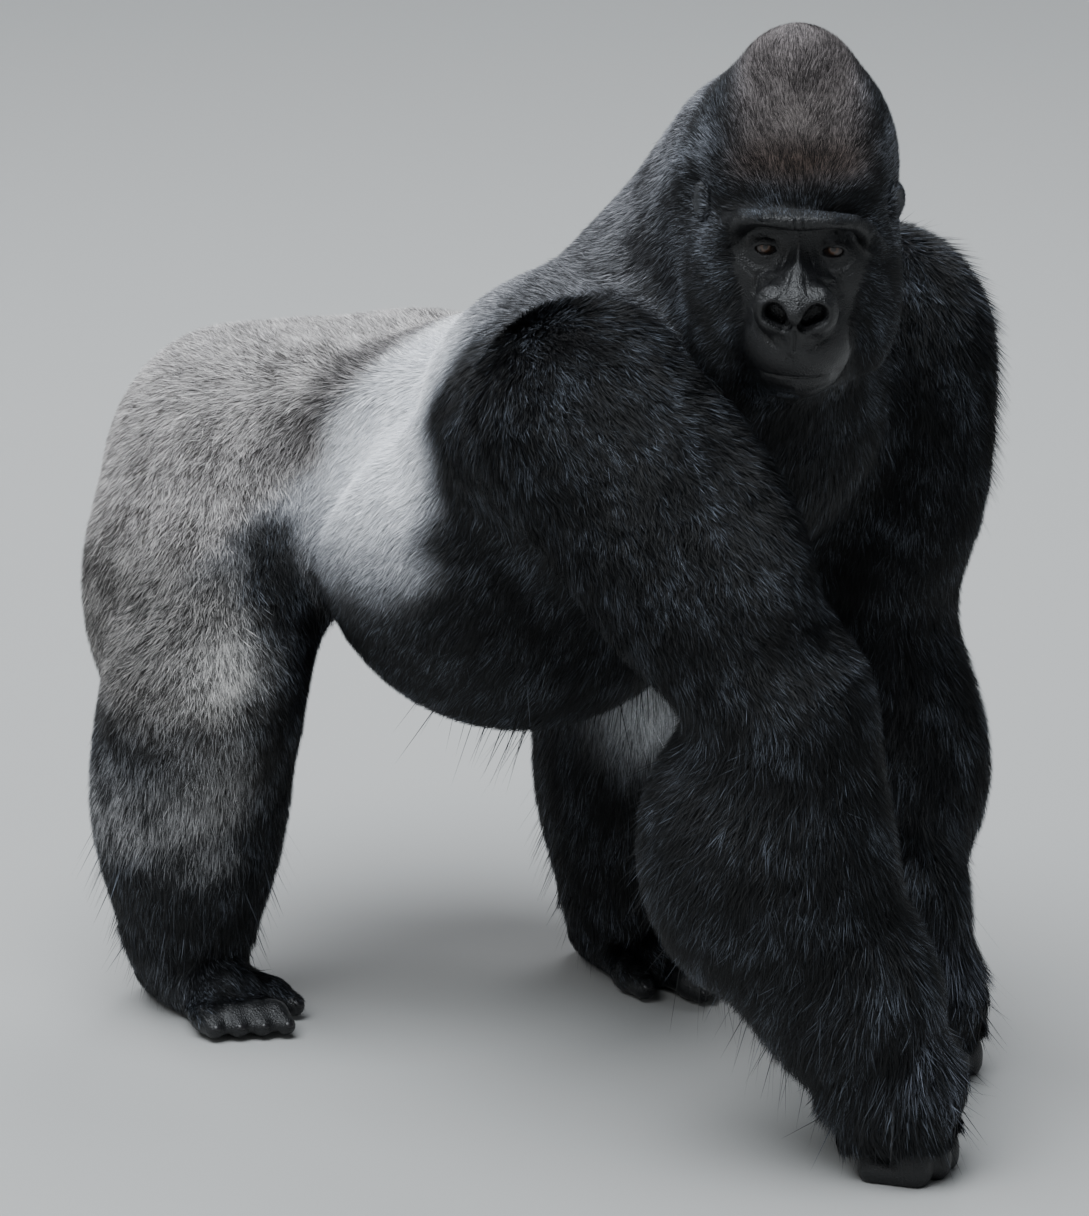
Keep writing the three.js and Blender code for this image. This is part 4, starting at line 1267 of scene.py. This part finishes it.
rng = np.random.default_rng(RANDOM_SEED)
skin_data = skin_mesh()
skin = Skin(skin_data)
skin_data.vertices.foreach_set("co", to_frame(creased(skin.points, skin.normal)).ravel())
skin_data.update()
skin_data.shade_smooth()
skin_object = make_object("skin", skin_data)
dark, pale, share = skin.coat[:, :3], skin.coat[:, 3:6], skin.coat[:, 6:]
# The coat's colour on the skin beneath it, darkened as painted shade deep in the coat.
set_colour(skin_data, (dark + share * (pale - dark)) * UNDER_COAT_SHADE)
skin_data.materials.append(skin_material())
unwrapped(skin_object)
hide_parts(*[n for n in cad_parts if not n.startswith("eye_")])

for side, joints in JOINTS.items():
    eyeball(side)
    add_nails(f"nails_foot_{side}", toe_nails(joints))
    add_nails(f"nails_hand_{side}", finger_nails(joints))

corners, corner_uv = skin_triangles(skin_data)
piece_number = piece_of_points(skin)[corners[:, 0]]
for at, piece in enumerate(PIECES):
    coat_piece(piece, skin, corners, corner_uv, piece_number == at, rng)

# ---------------------------------------------------------------- floor, light and camera


def add_floor(flat=10.0, rise=3.0, wall=5.0, steps=12, spokes=120):
    """A round floor that turns up into a wall well outside the camera's way round the animal."""
    mesh = bpy.data.meshes.new("floor")
    bend = np.linspace(0, math.pi / 2, steps)
    reach = [1.5, 4.0, 7.0, *(flat + rise * np.sin(bend)), flat + rise]
    height = [0, 0, 0, *(rise * (1 - np.cos(bend))), wall]
    turn = np.arange(spokes) * 2 * math.pi / spokes
    points = [(0.0, 0.0, 0.0)]
    points += [(r * math.cos(a), r * math.sin(a), h) for r, h in zip(reach, height) for a in turn]
    mesh.from_pydata(points, [], fan(0, 1, spokes) + ring_quads(1, len(reach), spokes))
    mesh.shade_smooth()
    floor = placed("floor", mesh)
    mesh.materials.append(Material("floor", Roughness=0.85, Base_Color=(0.43, 0.43, 0.42, 1)).material)


CAMERA = dict(azimuth=45, elevation=15, distance=8.0, lens=208.4, target=(0, 0, 496))


def aim(made, target, azimuth, elevation, distance):
    """Points a light or camera at a target, seen from an angle round it and a distance in metres."""
    a, e = math.radians(azimuth), math.radians(elevation)
    away = distance * Vector((math.sin(a) * math.cos(e), -math.cos(a) * math.cos(e), math.sin(e)))
    made.location = Vector(target) + away
    made.rotation_euler = (-away).to_track_quat("-Z", "Y").to_euler()


def add_camera():
    data = bpy.data.cameras.new("camera")
    data.lens, data.sensor_width = CAMERA["lens"], 36
    camera = placed("camera", data)
    aim(camera, to_frame(np.array(CAMERA["target"], float)),
        CAMERA["azimuth"], CAMERA["elevation"], CAMERA["distance"])
    bpy.context.scene.camera = camera


def add_light(name, azimuth, elevation, distance, size, power, colour):
    data = bpy.data.lights.new(name, "AREA")
    data.shape, data.size, data.energy, data.color = "DISK", size, power, colour
    aim(placed(name, data), (0, 0, 0.6), azimuth, elevation, distance)


def add_world():
    world = bpy.data.worlds.new("studio")
    bpy.context.scene.world = world
    world.use_nodes = True
    background = world.node_tree.nodes["Background"]
    background.inputs["Color"].default_value = (0.80, 0.88, 1.0, 1)
    background.inputs["Strength"].default_value = 0.11


add_floor()
add_camera()
add_world()
add_light("sky", 0, 72, 16, 16.0, 4800, (0.90, 0.95, 1.0))
add_light("key", 15, 35, 6, 2.5, 26, (1.0, 0.98, 0.95))
add_light("rim", 215, 50, 6, 2.5, 110, (0.92, 0.95, 1.0))
add_light("side", 268, 42, 6, 2.0, 60, (0.95, 0.96, 1.0))
